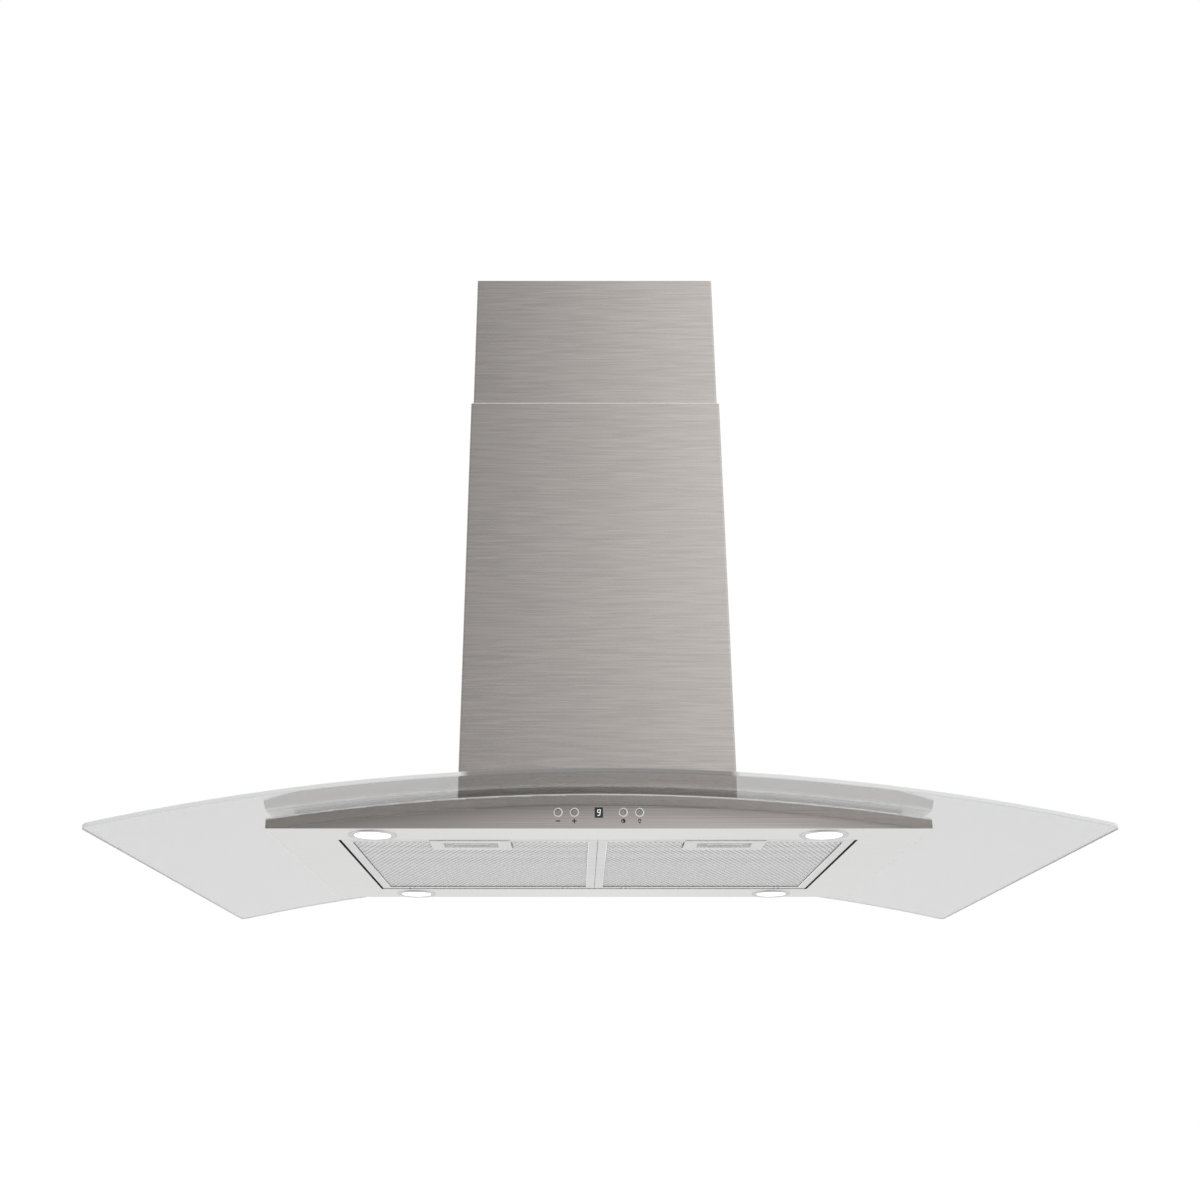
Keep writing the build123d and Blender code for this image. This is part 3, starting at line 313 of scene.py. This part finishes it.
edge_pale = (0.78, 0.79, 0.785)
edge_deep = (0.69, 0.705, 0.70)
edge_painted_shade = (0.25, 0.244, 0.238)   # painted shade on the front edge, standing in for the steel tube seen through the glass behind it
shade_inset = 0.018           # from the tube's side to where that stretch ends
shade_blur = 0.004            # to each side of that end, where it fades
shade_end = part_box("lower_chimney_cover")[1].x - shade_inset
facing = 0.9                  # part of a face's normal along an axis that it counts as facing

ground_edge, tree, shader = new_finish("ground_edge", {"Specular IOR Level": 0.5})
ground = speckle(tree, per_metre=1200.0, detail=3.0)
edge_point = add(tree, "ShaderNodeSeparateXYZ", {"Vector": place_in(tree)})
from_middle = calc(tree, "ABSOLUTE", edge_point.outputs["X"])
rear_edge = calc(tree, "GREATER_THAN", edge_point.outputs["Y"], 0.0)
from_shade = calc(tree, "ADD", from_middle, rear_edge)
# Painted shade: the front edge is darkened where the tube stands behind it; the rear edge is left
# clear.
clear_of_tube = rescale(tree, from_shade, shade_end - shade_blur, shade_end + shade_blur)
tint(tree, shader, clear_of_tube, edge_painted_shade, blend_colours(tree, ground, edge_deep, edge_pale))
gloss(tree, shader, ground, smooth=0.22, rough=0.4)
relief(tree, shader, ground, depth=0.00002)
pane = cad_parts["glass_canopy"].data
pane.materials.append(ground_edge)
for face in pane.polygons:
    face.material_index = 0 if abs(face.normal.z) > facing else 1

rubber_black = (0.022, 0.022, 0.022)
rubber_dusty = (0.055, 0.053, 0.05)

seal_rubber, tree, shader = new_finish("seal_rubber", {"Specular IOR Level": 0.35})
skin = speckle(tree, per_metre=900.0, detail=3.0)
tint(tree, shader, marks(tree, patch=0.02), rubber_black, rubber_dusty)
gloss(tree, shader, skin, smooth=0.55, rough=0.8)
relief(tree, shader, skin, depth=0.00005)
dress(["perimeter_seal", "throat_seal", "upper_gasket"], seal_rubber)


# ---- Steel body ----------------------------------------------------------------------------
# A shallow box under the glass: front and rear panels, underside pan and roof, all folded
# from the same brushed stainless sheet, with the brushing along the hood's width.
panel_light = (0.585, 0.549, 0.521)
panel_dark = (0.515, 0.483, 0.46)
panel_streaks = (9.0, 9.0, 1300.0)
# Painted light: the underside pan and the roof are far paler than the same sheet on the panels and
# chimney, so that they render as brightly lit.
pan_lit_pale = (0.85, 0.848, 0.837)
pan_lit_deep = (0.82, 0.818, 0.807)
pan_streaks = (14.0, 500.0, 500.0)

panel_steel = brushed_sheet(
    "panel_steel", panel_light, panel_dark, panel_streaks,
    smooth=0.055, rough=0.075, grain_depth=0.000001, turned=0.25, drawn=0.0)
pan_steel_painted_light = brushed_sheet(
    "pan_steel_painted_light", pan_lit_pale, pan_lit_deep, pan_streaks,
    smooth=0.27, rough=0.3, grain_depth=0.000003, turned=0.0)
dress(["front_fascia", "rear_fascia"], panel_steel)
dress(["base_pan", "top_deck"], pan_steel_painted_light)
paint_bend_highlights("front_fascia")
paint_bend_highlights("rear_fascia")

slit_shade_pale = (0.10, 0.098, 0.095)
slit_shade_deep = (0.06, 0.058, 0.056)
slit_reach = 0.01             # from the filters' outer edge, past the slit's far wall

# Painted shade: a dark, dull colour on the walls of the slit beside the filters, standing in for
# the shade deep in the slit.
slit_painted_shade, tree, shader = new_finish("slit_painted_shade", {"Metallic": 0.6})
tint(tree, shader, marks(tree, patch=0.01), slit_shade_pale, slit_shade_deep)
gloss(tree, shader, marks(tree, patch=0.006), smooth=0.6, rough=0.8)


def paint_slit_shade(name, inner, outer):
    """The upright walls of the slit beside the filters, between these distances from the middle,
    painted dark as the shade deep in the slit."""
    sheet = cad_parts[name].data
    sheet.materials.append(slit_painted_shade)
    for face in sheet.polygons:
        if abs(face.normal.x) > facing and inner < abs(face.center.x) < outer:
            face.material_index = len(sheet.materials) - 1


filter_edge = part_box("filter_frame_right")[1].x
paint_slit_shade("base_pan", filter_edge, filter_edge + slit_reach)


# ---- Lamps ---------------------------------------------------------------------------------
# Four round lamps pressed up through the underside: a satin nickel can with a domed rim,
# and a frosted lens that glows evenly.
nickel_light = (0.72, 0.715, 0.71)
nickel_dark = (0.62, 0.615, 0.61)
lens_warm = (0.95, 0.95, 0.93)
lens_white = (1.0, 1.0, 1.0)

satin_nickel, tree, shader = new_finish("satin_nickel", {"Metallic": 1.0})
spun = speckle(tree, per_metre=1100.0, detail=3.0)
tint(tree, shader, spun, nickel_dark, nickel_light)
gloss(tree, shader, marks(tree, patch=0.01), smooth=0.2, rough=0.34)
relief(tree, shader, spun, depth=0.00001)

frosted_lens, tree, shader = new_finish(
    "frosted_lens", {"Emission Strength": 1.0, "Specular IOR Level": 0.4})
frost = speckle(tree, per_metre=700.0, detail=3.0)
lens_colour = blend_colours(tree, frost, lens_warm, lens_white)
tree.links.new(lens_colour, shader.inputs["Base Color"])
tree.links.new(lens_colour, shader.inputs["Emission Color"])
gloss(tree, shader, frost, smooth=0.35, rough=0.5)
relief(tree, shader, frost, depth=0.00003)

for corner in ("front_left", "front_right", "rear_left", "rear_right"):
    dress([f"lamp_housing_{corner}"], satin_nickel)
    dress([f"lamp_lens_{corner}"], frosted_lens)


# ---- Controls ------------------------------------------------------------------------------
# Four round push buttons with bright rings and a black display in the front panel. Behind
# them a black moulding holds the board. The marks below the buttons are printed on.
def moulded(name, colour, worn, smooth, rough, grain):
    """Moulded plastic with a fine texture of this many bumps per metre."""
    material, tree, shader = new_finish(name, {})
    texture = speckle(tree, per_metre=grain)
    tint(tree, shader, marks(tree, patch=0.03), colour, worn)
    gloss(tree, shader, texture, smooth, rough)
    relief(tree, shader, texture, depth=0.00004)
    return material


carrier_black = (0.03, 0.03, 0.033)
carrier_worn = (0.045, 0.045, 0.048)

black_moulding = moulded(
    "black_moulding", carrier_black, carrier_worn, smooth=0.4, rough=0.55, grain=1200.0)
dress(["control_carrier"], black_moulding)

board_green = (0.02, 0.13, 0.06)
track_green = (0.035, 0.22, 0.10)
track_pitch = 0.0016
track_gap = 0.06              # of the pitch

printed_board, tree, shader = new_finish("printed_board", {"Coat Weight": 0.4})
tracks = add(tree, "ShaderNodeTexBrick", {
    "Vector": place_in(tree), "Scale": 1 / track_pitch, "Mortar Size": track_gap}).outputs["Fac"]
tint(tree, shader, tracks, track_green, board_green)
gloss(tree, shader, tracks, smooth=0.3, rough=0.42)
relief(tree, shader, tracks, depth=0.00003)
dress(["control_board"], printed_board)

smoke_black = (0.006, 0.006, 0.007)
smoke_wiped = (0.012, 0.012, 0.013)

display_glass, tree, shader = new_finish(
    "display_glass", {"Coat Weight": 0.6, "Coat Roughness": 0.05})
tint(tree, shader, marks(tree, patch=0.004), smoke_black, smoke_wiped)
gloss(tree, shader, marks(tree, patch=0.003), smooth=0.08, rough=0.16)
dress(["display_window"], display_glass)

chrome_bright = (0.97, 0.97, 0.97)
chrome_touched = (0.9, 0.9, 0.9)

bright_chrome, tree, shader = new_finish("bright_chrome", {"Metallic": 1.0})
tint(tree, shader, marks(tree, patch=0.002), chrome_bright, chrome_touched)
gloss(tree, shader, marks(tree, patch=0.003), smooth=0.08, rough=0.2)
dress(["button_rings"], bright_chrome)

cap_dark = (0.36, 0.355, 0.35)
cap_light = (0.48, 0.475, 0.47)

cap_steel, tree, shader = new_finish("cap_steel", {"Metallic": 1.0})
tint(tree, shader, speckle(tree, per_metre=1500.0), cap_dark, cap_light)
gloss(tree, shader, marks(tree, patch=0.002), smooth=0.22, rough=0.36)
dress(["button_minus", "button_plus", "button_timer", "button_lamp"], cap_steel)

ink_black = (0.012, 0.012, 0.012)
ink_worn = (0.03, 0.029, 0.028)
print_height = 0.00006

print_ink, tree, shader = new_finish("print_ink", {})
tint(tree, shader, marks(tree, patch=0.002), ink_black, ink_worn)
gloss(tree, shader, marks(tree, patch=0.002), smooth=0.4, rough=0.6)


def new_piece(name, shape, material):
    """A piece with its material, from its finished bmesh."""
    bmesh.ops.recalc_face_normals(shape, faces=shape.faces)
    mesh = bpy.data.meshes.new(name)
    shape.to_mesh(mesh)
    shape.free()
    mesh.materials.append(material)
    piece = bpy.data.objects.new(name, mesh)
    bpy.context.scene.collection.objects.link(piece)
    return piece


def raised(name, outlines, face_y, material):
    """Flat printed shapes, each an outline of (x, z) points, standing out from an upright face."""
    shape = bmesh.new()
    for outline in outlines:
        near = [shape.verts.new((x, face_y - print_height, z)) for x, z in outline]
        far = [shape.verts.new((x, face_y, z)) for x, z in outline]
        shape.faces.new(near)
        shape.faces.new(far[::-1])
        for i in range(len(near)):
            j = (i + 1) % len(near)
            shape.faces.new((near[j], near[i], far[i], far[j]))
    piece = new_piece(name, shape, material)
    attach(piece, "hood")


def bar(x0, x1, z0, z1):
    """A rectangle's outline."""
    return [(x0, z0), (x1, z0), (x1, z1), (x0, z1)]


def sector(z, inner, outer, start, end, steps=16):
    """The outline of part of a ring, or of a disc when inner is 0, at this height."""
    angles = [math.radians(start + (end - start) * i / steps) for i in range(steps + 1)]
    far = [(outer * math.cos(a), z + outer * math.sin(a)) for a in angles]
    near = [(inner * math.cos(a), z + inner * math.sin(a)) for a in reversed(angles)]
    return far + (near if inner > 0 else [(0.0, z)])


mark_drop = 0.0078            # of the printed marks, below the buttons' middles
half_line = 0.000525          # of the strokes of the minus and plus
arm = 0.0021
clock_rim = 0.0020
clock_hub = 0.0013
bulb_rise = 0.0005            # of the lamp's globe, above the mark's middle
bulb_outer = 0.0015
bulb_inner = 0.0007
collar_half = 0.0009          # half widths of the two bars under the globe
tip_half = 0.0006
collar_foot = -0.0015
tip_foot = -0.0022
cap_bar = 0.0006              # height of each

printed_marks = {
    "minus": [bar(-arm, arm, -half_line, half_line)],
    "plus": [
        bar(-arm, arm, -half_line, half_line),
        bar(-half_line, half_line, half_line, arm),
        bar(-half_line, half_line, -arm, -half_line),
    ],
    "timer": [
        sector(0.0, clock_hub, clock_rim, 0, 180), sector(0.0, clock_hub, clock_rim, 180, 360),
        sector(0.0, 0, clock_hub, -90, 150),
    ],
    "lamp": [
        sector(bulb_rise, bulb_inner, bulb_outer, -50, 230),
        bar(-collar_half, collar_half, collar_foot, collar_foot + cap_bar),
        bar(-tip_half, tip_half, tip_foot, tip_foot + cap_bar),
    ],
}
panel_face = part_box("front_fascia")[0].y
for name, outlines in printed_marks.items():
    low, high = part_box(f"button_{name}")
    x, z = (low.x + high.x) / 2, (low.z + high.z) / 2 - mark_drop
    placed = [[(x + px, z + pz) for px, pz in outline] for outline in outlines]
    raised(f"mark_{name}", placed, panel_face, print_ink)

digit_light = (0.80, 0.84, 0.86)
digit_dim = (0.72, 0.76, 0.78)
digit_height = 0.0058
digit_width = 0.0031
digit_stroke = 0.00062
digit_gap = 0.00012
digit_lean = 0.16

lit_segment, tree, shader = new_finish("lit_segment", {"Emission Strength": 0.75})
glow = blend_colours(tree, marks(tree, patch=0.001), digit_light, digit_dim)
tree.links.new(glow, shader.inputs["Base Color"])
tree.links.new(glow, shader.inputs["Emission Color"])
gloss(tree, shader, marks(tree, patch=0.001), smooth=0.4, rough=0.5)

low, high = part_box("display_window")
middle_x, middle_z = (low.x + high.x) / 2, (low.z + high.z) / 2
half_w, half_h = digit_width / 2, digit_height / 2
level_end = half_w - digit_stroke - digit_gap    # of the level segments


def leaned(outline):
    """An outline of the digit, leaned to the right and put in the middle of the window."""
    return [(middle_x + px + digit_lean * pz, middle_z + pz) for px, pz in outline]


segments = [
    bar(-level_end, level_end, half_h - digit_stroke, half_h),
    bar(-level_end, level_end, -digit_stroke / 2, digit_stroke / 2),
    bar(-level_end, level_end, -half_h, -half_h + digit_stroke),
    bar(half_w - digit_stroke, half_w, digit_gap, half_h - digit_gap),
    bar(half_w - digit_stroke, half_w, -half_h + digit_gap, -digit_gap),
    bar(-half_w, -half_w + digit_stroke, digit_gap, half_h - digit_gap),
]
raised("display_digit", [leaned(outline) for outline in segments], low.y,
       lit_segment)


# ---- Grease filters and their catches ------------------------------------------------------
# Each filter is a folded aluminium channel round layers of expanded mesh, with a pull plate
# and a sprung catch at the front. It hangs on two pins at the back and swings down.
frame_light = (0.81, 0.81, 0.81)
frame_dark = (0.73, 0.73, 0.73)
filter_streaks = (30.0, 500.0, 500.0)
edge_slack = 0.0005           # to each side of the filter's outer edge

filter_sheet = brushed_sheet(
    "filter_sheet", frame_light, frame_dark, filter_streaks,
    smooth=0.34, rough=0.42, grain_depth=0.00001, turned=0.0)
for name in ("filter_frame_left", "filter_frame_right"):
    dress([name], filter_sheet)
    # The frames' outer walls in the slit get the same painted shade.
    paint_slit_shade(name, filter_edge - edge_slack, filter_edge + edge_slack)

plate_light = (0.80, 0.80, 0.80)
plate_dark = (0.73, 0.73, 0.73)
plate_rim = 0.5               # upward part of a face's normal below which it is the plate's rim

pull_plate, tree, shader = new_finish("pull_plate", {"Metallic": 0.5})
satin = speckle(tree, per_metre=800.0)
tint(tree, shader, satin, plate_dark, plate_light)
gloss(tree, shader, marks(tree, patch=0.02), smooth=0.3, rough=0.42)
relief(tree, shader, satin, depth=0.00001)
for name in ("catch_plate_left", "catch_plate_right"):
    dress([name], pull_plate)
    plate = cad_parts[name].data
    # The plate's rim gets the painted highlight of the bends.
    plate.materials.append(bend_painted_highlight)
    for face in plate.polygons:
        face.material_index = 1 if abs(face.normal.z) < plate_rim else 0

slide_light = (0.82, 0.82, 0.81)
slide_worn = (0.74, 0.74, 0.73)

catch_metal, tree, shader = new_finish("catch_metal", {"Metallic": 0.5})
tint(tree, shader, marks(tree, patch=0.005), slide_light, slide_worn)
gloss(tree, shader, marks(tree, patch=0.008), smooth=0.28, rough=0.4)
dress(["catch_slide_left", "catch_slide_right"], catch_metal)

spring_light = (0.45, 0.45, 0.46)
spring_worn = (0.33, 0.33, 0.34)

spring_steel, tree, shader = new_finish("spring_steel", {"Metallic": 1.0})
tint(tree, shader, marks(tree, patch=0.005), spring_light, spring_worn)
gloss(tree, shader, marks(tree, patch=0.004), smooth=0.2, rough=0.32)
dress(["catch_spring_left", "catch_spring_right", "filter_keeper_left", "filter_keeper_right"],
      spring_steel)

for side_name in ("left", "right"):
    node = f"catch_spring_{side_name}"
    leaf = bpy.data.objects.new(f"leaf_spring_{side_name}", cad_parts[node].data.copy())
    bpy.context.scene.collection.objects.link(leaf)
    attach(leaf, f"{side_name}_filter")
    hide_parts(node)
    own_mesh(leaf)

inner_light = (0.46, 0.46, 0.46)
open_cell_shade = (0.30, 0.30, 0.30)
strand_dark = (0.95, 0.95, 0.95)
strand_light = (0.99, 0.99, 0.99)
cell_long = 0.0058            # of one diamond, across the hood
cell_short = 0.0064           # from one row of strands to the next
strand_width = 0.0042
strand_thick = 0.0002
strand_taper = 0.4            # of the thickness, left at a strand's rear side
inner_strand = 0.08           # how far into a cell the strands of the inner layers reach
inner_open = 0.2              # and where the cell is fully open
rail_width = 0.009
fold_radius = 0.0005

# Painted shade: the open cells of the inner layers are darker, standing in for the shade seen
# through their holes.
inner_layers, tree, shader = new_finish("inner_layers", {"Metallic": 0.8})
spot = add(tree, "ShaderNodeSeparateXYZ", {"Vector": place_in(tree)})
along = calc(tree, "DIVIDE", spot.outputs["X"], cell_long)
back = calc(tree, "DIVIDE", spot.outputs["Y"], 2 * cell_short)
first = calc(tree, "PINGPONG", calc(tree, "ADD", along, back), 0.5)
second = calc(tree, "PINGPONG", calc(tree, "SUBTRACT", along, back), 0.5)
open_cell = rescale(tree, calc(tree, "MINIMUM", first, second), inner_strand, inner_open)
tint(tree, shader, open_cell, inner_light, open_cell_shade)
gloss(tree, shader, open_cell, smooth=0.4, rough=0.6)
relief(tree, shader, open_cell, depth=-0.00006)
dress(["filter_mesh_left", "filter_mesh_right"], inner_layers)

strand_metal, tree, shader = new_finish("strand_metal", {"Metallic": 1.0})
cut_marks = speckle(tree, per_metre=1300.0)
tint(tree, shader, cut_marks, strand_dark, strand_light)
gloss(tree, shader, cut_marks, smooth=0.2, rough=0.3)


def expanded_mesh(name, x, y, z, side, hole):
    """One layer of expanded mesh: zigzag strands that meet at their knots. side is -1 under
    the filter and 1 on top of it; hole is the (x, y) room of the finger pocket, or None."""
    layer = bmesh.new()
    columns = int((x[1] - x[0]) / (cell_long / 2))
    rows = int((y[1] - y[0]) / cell_short)
    half = strand_width / 2
    swing = cell_short / 2 - half
    start_x = (x[0] + x[1] - columns * cell_long / 2) / 2
    start_y = (y[0] + y[1] - rows * cell_short) / 2 + cell_short / 2
    outer = z + side * strand_thick
    inner = z + side * strand_thick * strand_taper
    for row in range(rows):
        before = None
        for column in range(columns + 1):
            px = start_x + column * cell_long / 2
            py = start_y + row * cell_short + (swing if (row + column) % 2 else -swing)
            if hole and hole[0][0] < px < hole[0][1] and hole[1][0] < py < hole[1][1]:
                before = None
                continue
            now = [
                layer.verts.new((px, py - half, z)), layer.verts.new((px, py - half, outer)),
                layer.verts.new((px, py + half, inner)), layer.verts.new((px, py + half, z)),
            ]
            if before:
                for i in range(3):
                    layer.faces.new((before[i], before[i + 1], now[i + 1], now[i]))
            before = now
    return new_piece(name, layer, strand_metal)


def rolled_edge(name, route, z, radius, steps=6):
    """The rounded inner fold of the channel: a half-round bead along a route with square
    corners, given as (x, y) points with the window on the left of each run."""
    bead = bmesh.new()
    rings = []
    for i in range(steps + 1):
        turn = math.pi * i / steps
        out, drop = radius * math.cos(turn), radius * math.sin(turn)
        ring = []
        for k, (px, py) in enumerate(route):
            shift_x = shift_y = 0.0
            for j in {max(k - 1, 0), min(k, len(route) - 2)}:
                run_x, run_y = route[j + 1][0] - route[j][0], route[j + 1][1] - route[j][1]
                length = math.hypot(run_x, run_y)
                shift_x += run_y / length
                shift_y -= run_x / length
            ring.append(bead.verts.new((px + out * shift_x, py + out * shift_y, z - drop)))
        rings.append(ring)
    for inner, outer in zip(rings, rings[1:]):
        for k in range(len(route) - 1):
            face = bead.faces.new((inner[k], inner[k + 1], outer[k + 1], outer[k]))
            face.smooth = True
    return new_piece(name, bead, strand_metal)


for side_name in ("left", "right"):
    low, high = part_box(f"filter_frame_{side_name}")
    plate_low, plate_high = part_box(f"catch_plate_{side_name}")
    pad_low, pad_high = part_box(f"filter_mesh_{side_name}")
    window_x = (low.x + rail_width, high.x - rail_width)
    window_y = (low.y + rail_width, high.y - rail_width)
    covered = ((plate_low.x, plate_high.x), (plate_low.y, plate_high.y))
    under = expanded_mesh(f"mesh_under_{side_name}", window_x, window_y, pad_low.z, -1, covered)
    over = expanded_mesh(f"mesh_over_{side_name}", window_x, window_y, pad_high.z, 1, None)
    x0, x1, y0, y1 = *window_x, *window_y
    route = [(plate_high.x, y0), (x1, y0), (x1, y1), (x0, y1), (x0, y0), (plate_low.x, y0)]
    fold = rolled_edge(f"window_fold_{side_name}", route, low.z, fold_radius)
    for piece, slot in ((under, "filter_mesh"), (over, "filter_mesh"), (fold, "filter_aluminium")):
        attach(piece, f"{side_name}_filter")


# ---- Blower --------------------------------------------------------------------------------
# A folded sheet box round a moulded scroll in two halves, with a squirrel-cage wheel whose
# motor sits inside its left half, on a three-armed bracket.
scroll_black = (0.05, 0.05, 0.055)
scroll_worn = (0.08, 0.08, 0.085)
wheel_grey = (0.70, 0.70, 0.67)
wheel_dusty = (0.60, 0.60, 0.57)
enamel_black = (0.05, 0.05, 0.055)
enamel_worn = (0.075, 0.075, 0.08)

scroll_moulding = moulded(
    "scroll_moulding", scroll_black, scroll_worn, smooth=0.42, rough=0.6, grain=700.0)
wheel_moulding = moulded(
    "wheel_moulding", wheel_grey, wheel_dusty, smooth=0.4, rough=0.55, grain=900.0)
motor_enamel = moulded(
    "motor_enamel", enamel_black, enamel_worn, smooth=0.25, rough=0.4, grain=500.0)
dress(["blower_box", "motor_bracket"], zinc_coat)
dress(["scroll_left", "scroll_right"], scroll_moulding)
dress(["impeller"], wheel_moulding)
dress(["motor_shell"], motor_enamel)
dress(["motor_shaft"], plated_steel)


# ---- Outlet collar and damper flaps --------------------------------------------------------
# A moulded funnel and spigot for the round duct, with two half-round flaps on a steel cross
# pin that the air lifts and that fall shut by their weight.
flap_grey = (0.10, 0.10, 0.10)
flap_worn = (0.14, 0.14, 0.14)

flap_moulding = moulded(
    "flap_moulding", flap_grey, flap_worn, smooth=0.45, rough=0.6, grain=800.0)
dress(["duct_collar"], scroll_moulding)
dress(["damper_flap_front", "damper_flap_rear"], flap_moulding)
dress(["damper_pin"], plated_steel)


# ---- Wiring box ----------------------------------------------------------------------------
# A moulded plastic box for the mains terminals, which stands on the blower's box. The supply
# cable comes in by a nylon gland in its lid.
box_black = (0.06, 0.06, 0.065)
box_worn = (0.09, 0.09, 0.095)
gland_grey = (0.22, 0.22, 0.23)
gland_worn = (0.28, 0.28, 0.29)

box_moulding = moulded(
    "box_moulding", box_black, box_worn, smooth=0.42, rough=0.58, grain=900.0)
gland_nylon = moulded(
    "gland_nylon", gland_grey, gland_worn, smooth=0.4, rough=0.52, grain=1000.0)
dress(["wiring_box", "wiring_lid"], box_moulding)
dress(["cable_gland"], gland_nylon)


# ---- Studio --------------------------------------------------------------------------------
# A plain white floor under the hanging hood and one wide soft lamp above the front. The soft
# surround is darker low in front and to the left. A narrow dark flag across it in front
# darkens what the front panel reflects.
floor_z = -1.75
floor_half = 60.0
floor_white = (0.86, 0.86, 0.86)
floor_pale = (0.88, 0.88, 0.88)
floor_lift = 0.3
front_levels = ((-0.05, 0.68), (0.06, 0.7), (0.14, 0.8), (0.25, 0.86), (0.4, 0.77), (0.6, 0.66))
rear_levels = ((-0.45, 0.98), (-0.3, 0.82), (-0.08, 0.82), (0.05, 0.9))
front_turn = (0.1, -0.5)      # rearward part of a direction, from behind to in front
low_sides = (-0.28, 0.28)     # rightward part of a direction, low down
low_side_levels = (0.68, 0.9)
high_sides = (0.115, -0.165)  # rightward over rearward part, higher up
high_side_levels = (0.52, 1.66)
low_to_high = (0.14, 0.3)     # upward part of a direction between the two
overhead_turn = (0.78, 0.95)
overhead_level = 0.5
flag_low = 0.2155             # edges of the narrow dark flag in front, as rise over run
flag_high = 0.2345
flag_low_blur = 0.002
flag_high_blur = 0.006
flag_bow = 0.29
flag_depth = 0.55

mesh = bpy.data.meshes.new("studio_floor")
plane = bmesh.new()
bmesh.ops.create_grid(plane, x_segments=8, y_segments=8, size=floor_half)
plane.to_mesh(mesh)
plane.free()
floor = bpy.data.objects.new("studio_floor", mesh)
floor.location = (0.0, 0.0, floor_z)
floor.visible_glossy = False
bpy.context.scene.collection.objects.link(floor)

studio_paper, tree, shader = new_finish(
    "studio_paper", {"Specular IOR Level": 0.0, "Roughness": 1.0,
                     "Emission Color": (1.0, 1.0, 1.0, 1.0)})
tint(tree, shader, speckle(tree, per_metre=3.0), floor_white, floor_pale)
path = add(tree, "ShaderNodeLightPath")
direct = calc(tree, "MAXIMUM", path.outputs["Is Camera Ray"], path.outputs["Is Glossy Ray"])
direct = calc(tree, "MAXIMUM", direct, path.outputs["Is Transmission Ray"])
lift = calc(tree, "MULTIPLY", direct, floor_lift)
tree.links.new(lift, shader.inputs["Emission Strength"])
mesh.materials.append(studio_paper)

surround = bpy.data.worlds.new("studio_surround")
bpy.context.scene.world = surround
surround.use_nodes = True
tree = surround.node_tree
backing = tree.nodes["Background"]
backing.inputs["Color"].default_value = (1.0, 1.0, 1.0, 1.0)
direction = add(tree, "ShaderNodeTexCoord").outputs["Generated"]
parts = add(tree, "ShaderNodeSeparateXYZ", {"Vector": direction})
rightward, rearward, upward = (parts.outputs[axis] for axis in "XYZ")
height = rescale(tree, upward, start=-1.0, end=1.0)


def by_height(levels):
    """The surround's level at each height, from (height, level) pairs."""
    node = add(tree, "ShaderNodeValToRGB", {"Fac": height})
    stops = node.color_ramp.elements
    for z, value in levels:
        stops.new((z + 1) / 2).color = (value, value, value, 1.0)
    stops[0].color = (*(levels[0][1],) * 3, 1.0)
    stops[-1].color = (*(levels[-1][1],) * 3, 1.0)
    return node.outputs["Color"]


aside = calc(tree, "DIVIDE", rightward, rearward)
low_across = rescale(tree, rightward, *low_sides, *low_side_levels)
high_across = rescale(tree, aside, *high_sides, *high_side_levels)
across = mixed(tree, rescale(tree, upward, *low_to_high), low_across, high_across)
in_front = rescale(tree, rearward, *front_turn, kind="SMOOTHSTEP")

rise = calc(tree, "DIVIDE", upward, rearward)
bow = calc(tree, "MULTIPLY", calc(tree, "MULTIPLY", aside, aside), flag_bow)
above_bow = calc(tree, "SUBTRACT", bow, rise)
flag_foot = rescale(
    tree, above_bow, flag_low - flag_low_blur, flag_low + flag_low_blur, 0.0, flag_depth)
flag_head = rescale(tree, above_bow, flag_high, flag_high + flag_high_blur, 1.0, 0.0)
flag = calc(tree, "MULTIPLY", flag_foot, flag_head)
unflagged = calc(tree, "SUBTRACT", 1.0, flag)

front_level = calc(tree, "MULTIPLY", by_height(front_levels), across)
front_level = calc(tree, "MULTIPLY", front_level, unflagged)
level = mixed(tree, in_front, by_height(rear_levels), front_level)
path = add(tree, "ShaderNodeLightPath")
overhead = rescale(tree, upward, *overhead_turn, 0.0, overhead_level, kind="SMOOTHSTEP")
overhead = calc(tree, "MULTIPLY", overhead, path.outputs["Is Glossy Ray"])
level = calc(tree, "ADD", level, overhead)
straight = calc(tree, "LESS_THAN", path.outputs["Glossy Depth"], 0.5)
through = calc(tree, "MULTIPLY", path.outputs["Is Transmission Ray"], straight)
seen = calc(tree, "MAXIMUM", path.outputs["Is Camera Ray"], through)
tree.links.new(mixed(tree, seen, level, 1.0), backing.inputs["Strength"])

softbox_size = (2.4, 1.6)
softbox_watts = 22.0
softbox_place = (1.0, -2.2, 0.9)
softbox_tilt = 52.0
softbox_turn = 22.0

softbox_light = bpy.data.lights.new("front_softbox", "AREA")
softbox_light.shape = "RECTANGLE"
softbox_light.size, softbox_light.size_y = softbox_size
softbox_light.energy = softbox_watts
softbox = bpy.data.objects.new("front_softbox", softbox_light)
softbox.location = softbox_place
softbox.rotation_euler = (math.radians(softbox_tilt), 0.0, math.radians(softbox_turn))
softbox.visible_glossy = False
softbox.visible_transmission = False
softbox.visible_camera = False
bpy.context.scene.collection.objects.link(softbox)

camera_data = bpy.data.cameras.new("photo_camera")
camera_data.lens = 38.29
camera_data.sensor_width = 36.0
camera_data.shift_x = 0.01903
camera_data.clip_end = 200.0
camera = bpy.data.objects.new("photo_camera", camera_data)
camera.location = (-0.0199, -1.3684, -0.8875)
camera.rotation_euler = (math.radians(111.681), 0.0, 0.0)
bpy.context.scene.collection.objects.link(camera)
bpy.context.scene.camera = camera
bpy.context.scene.view_settings.view_transform = "Standard"
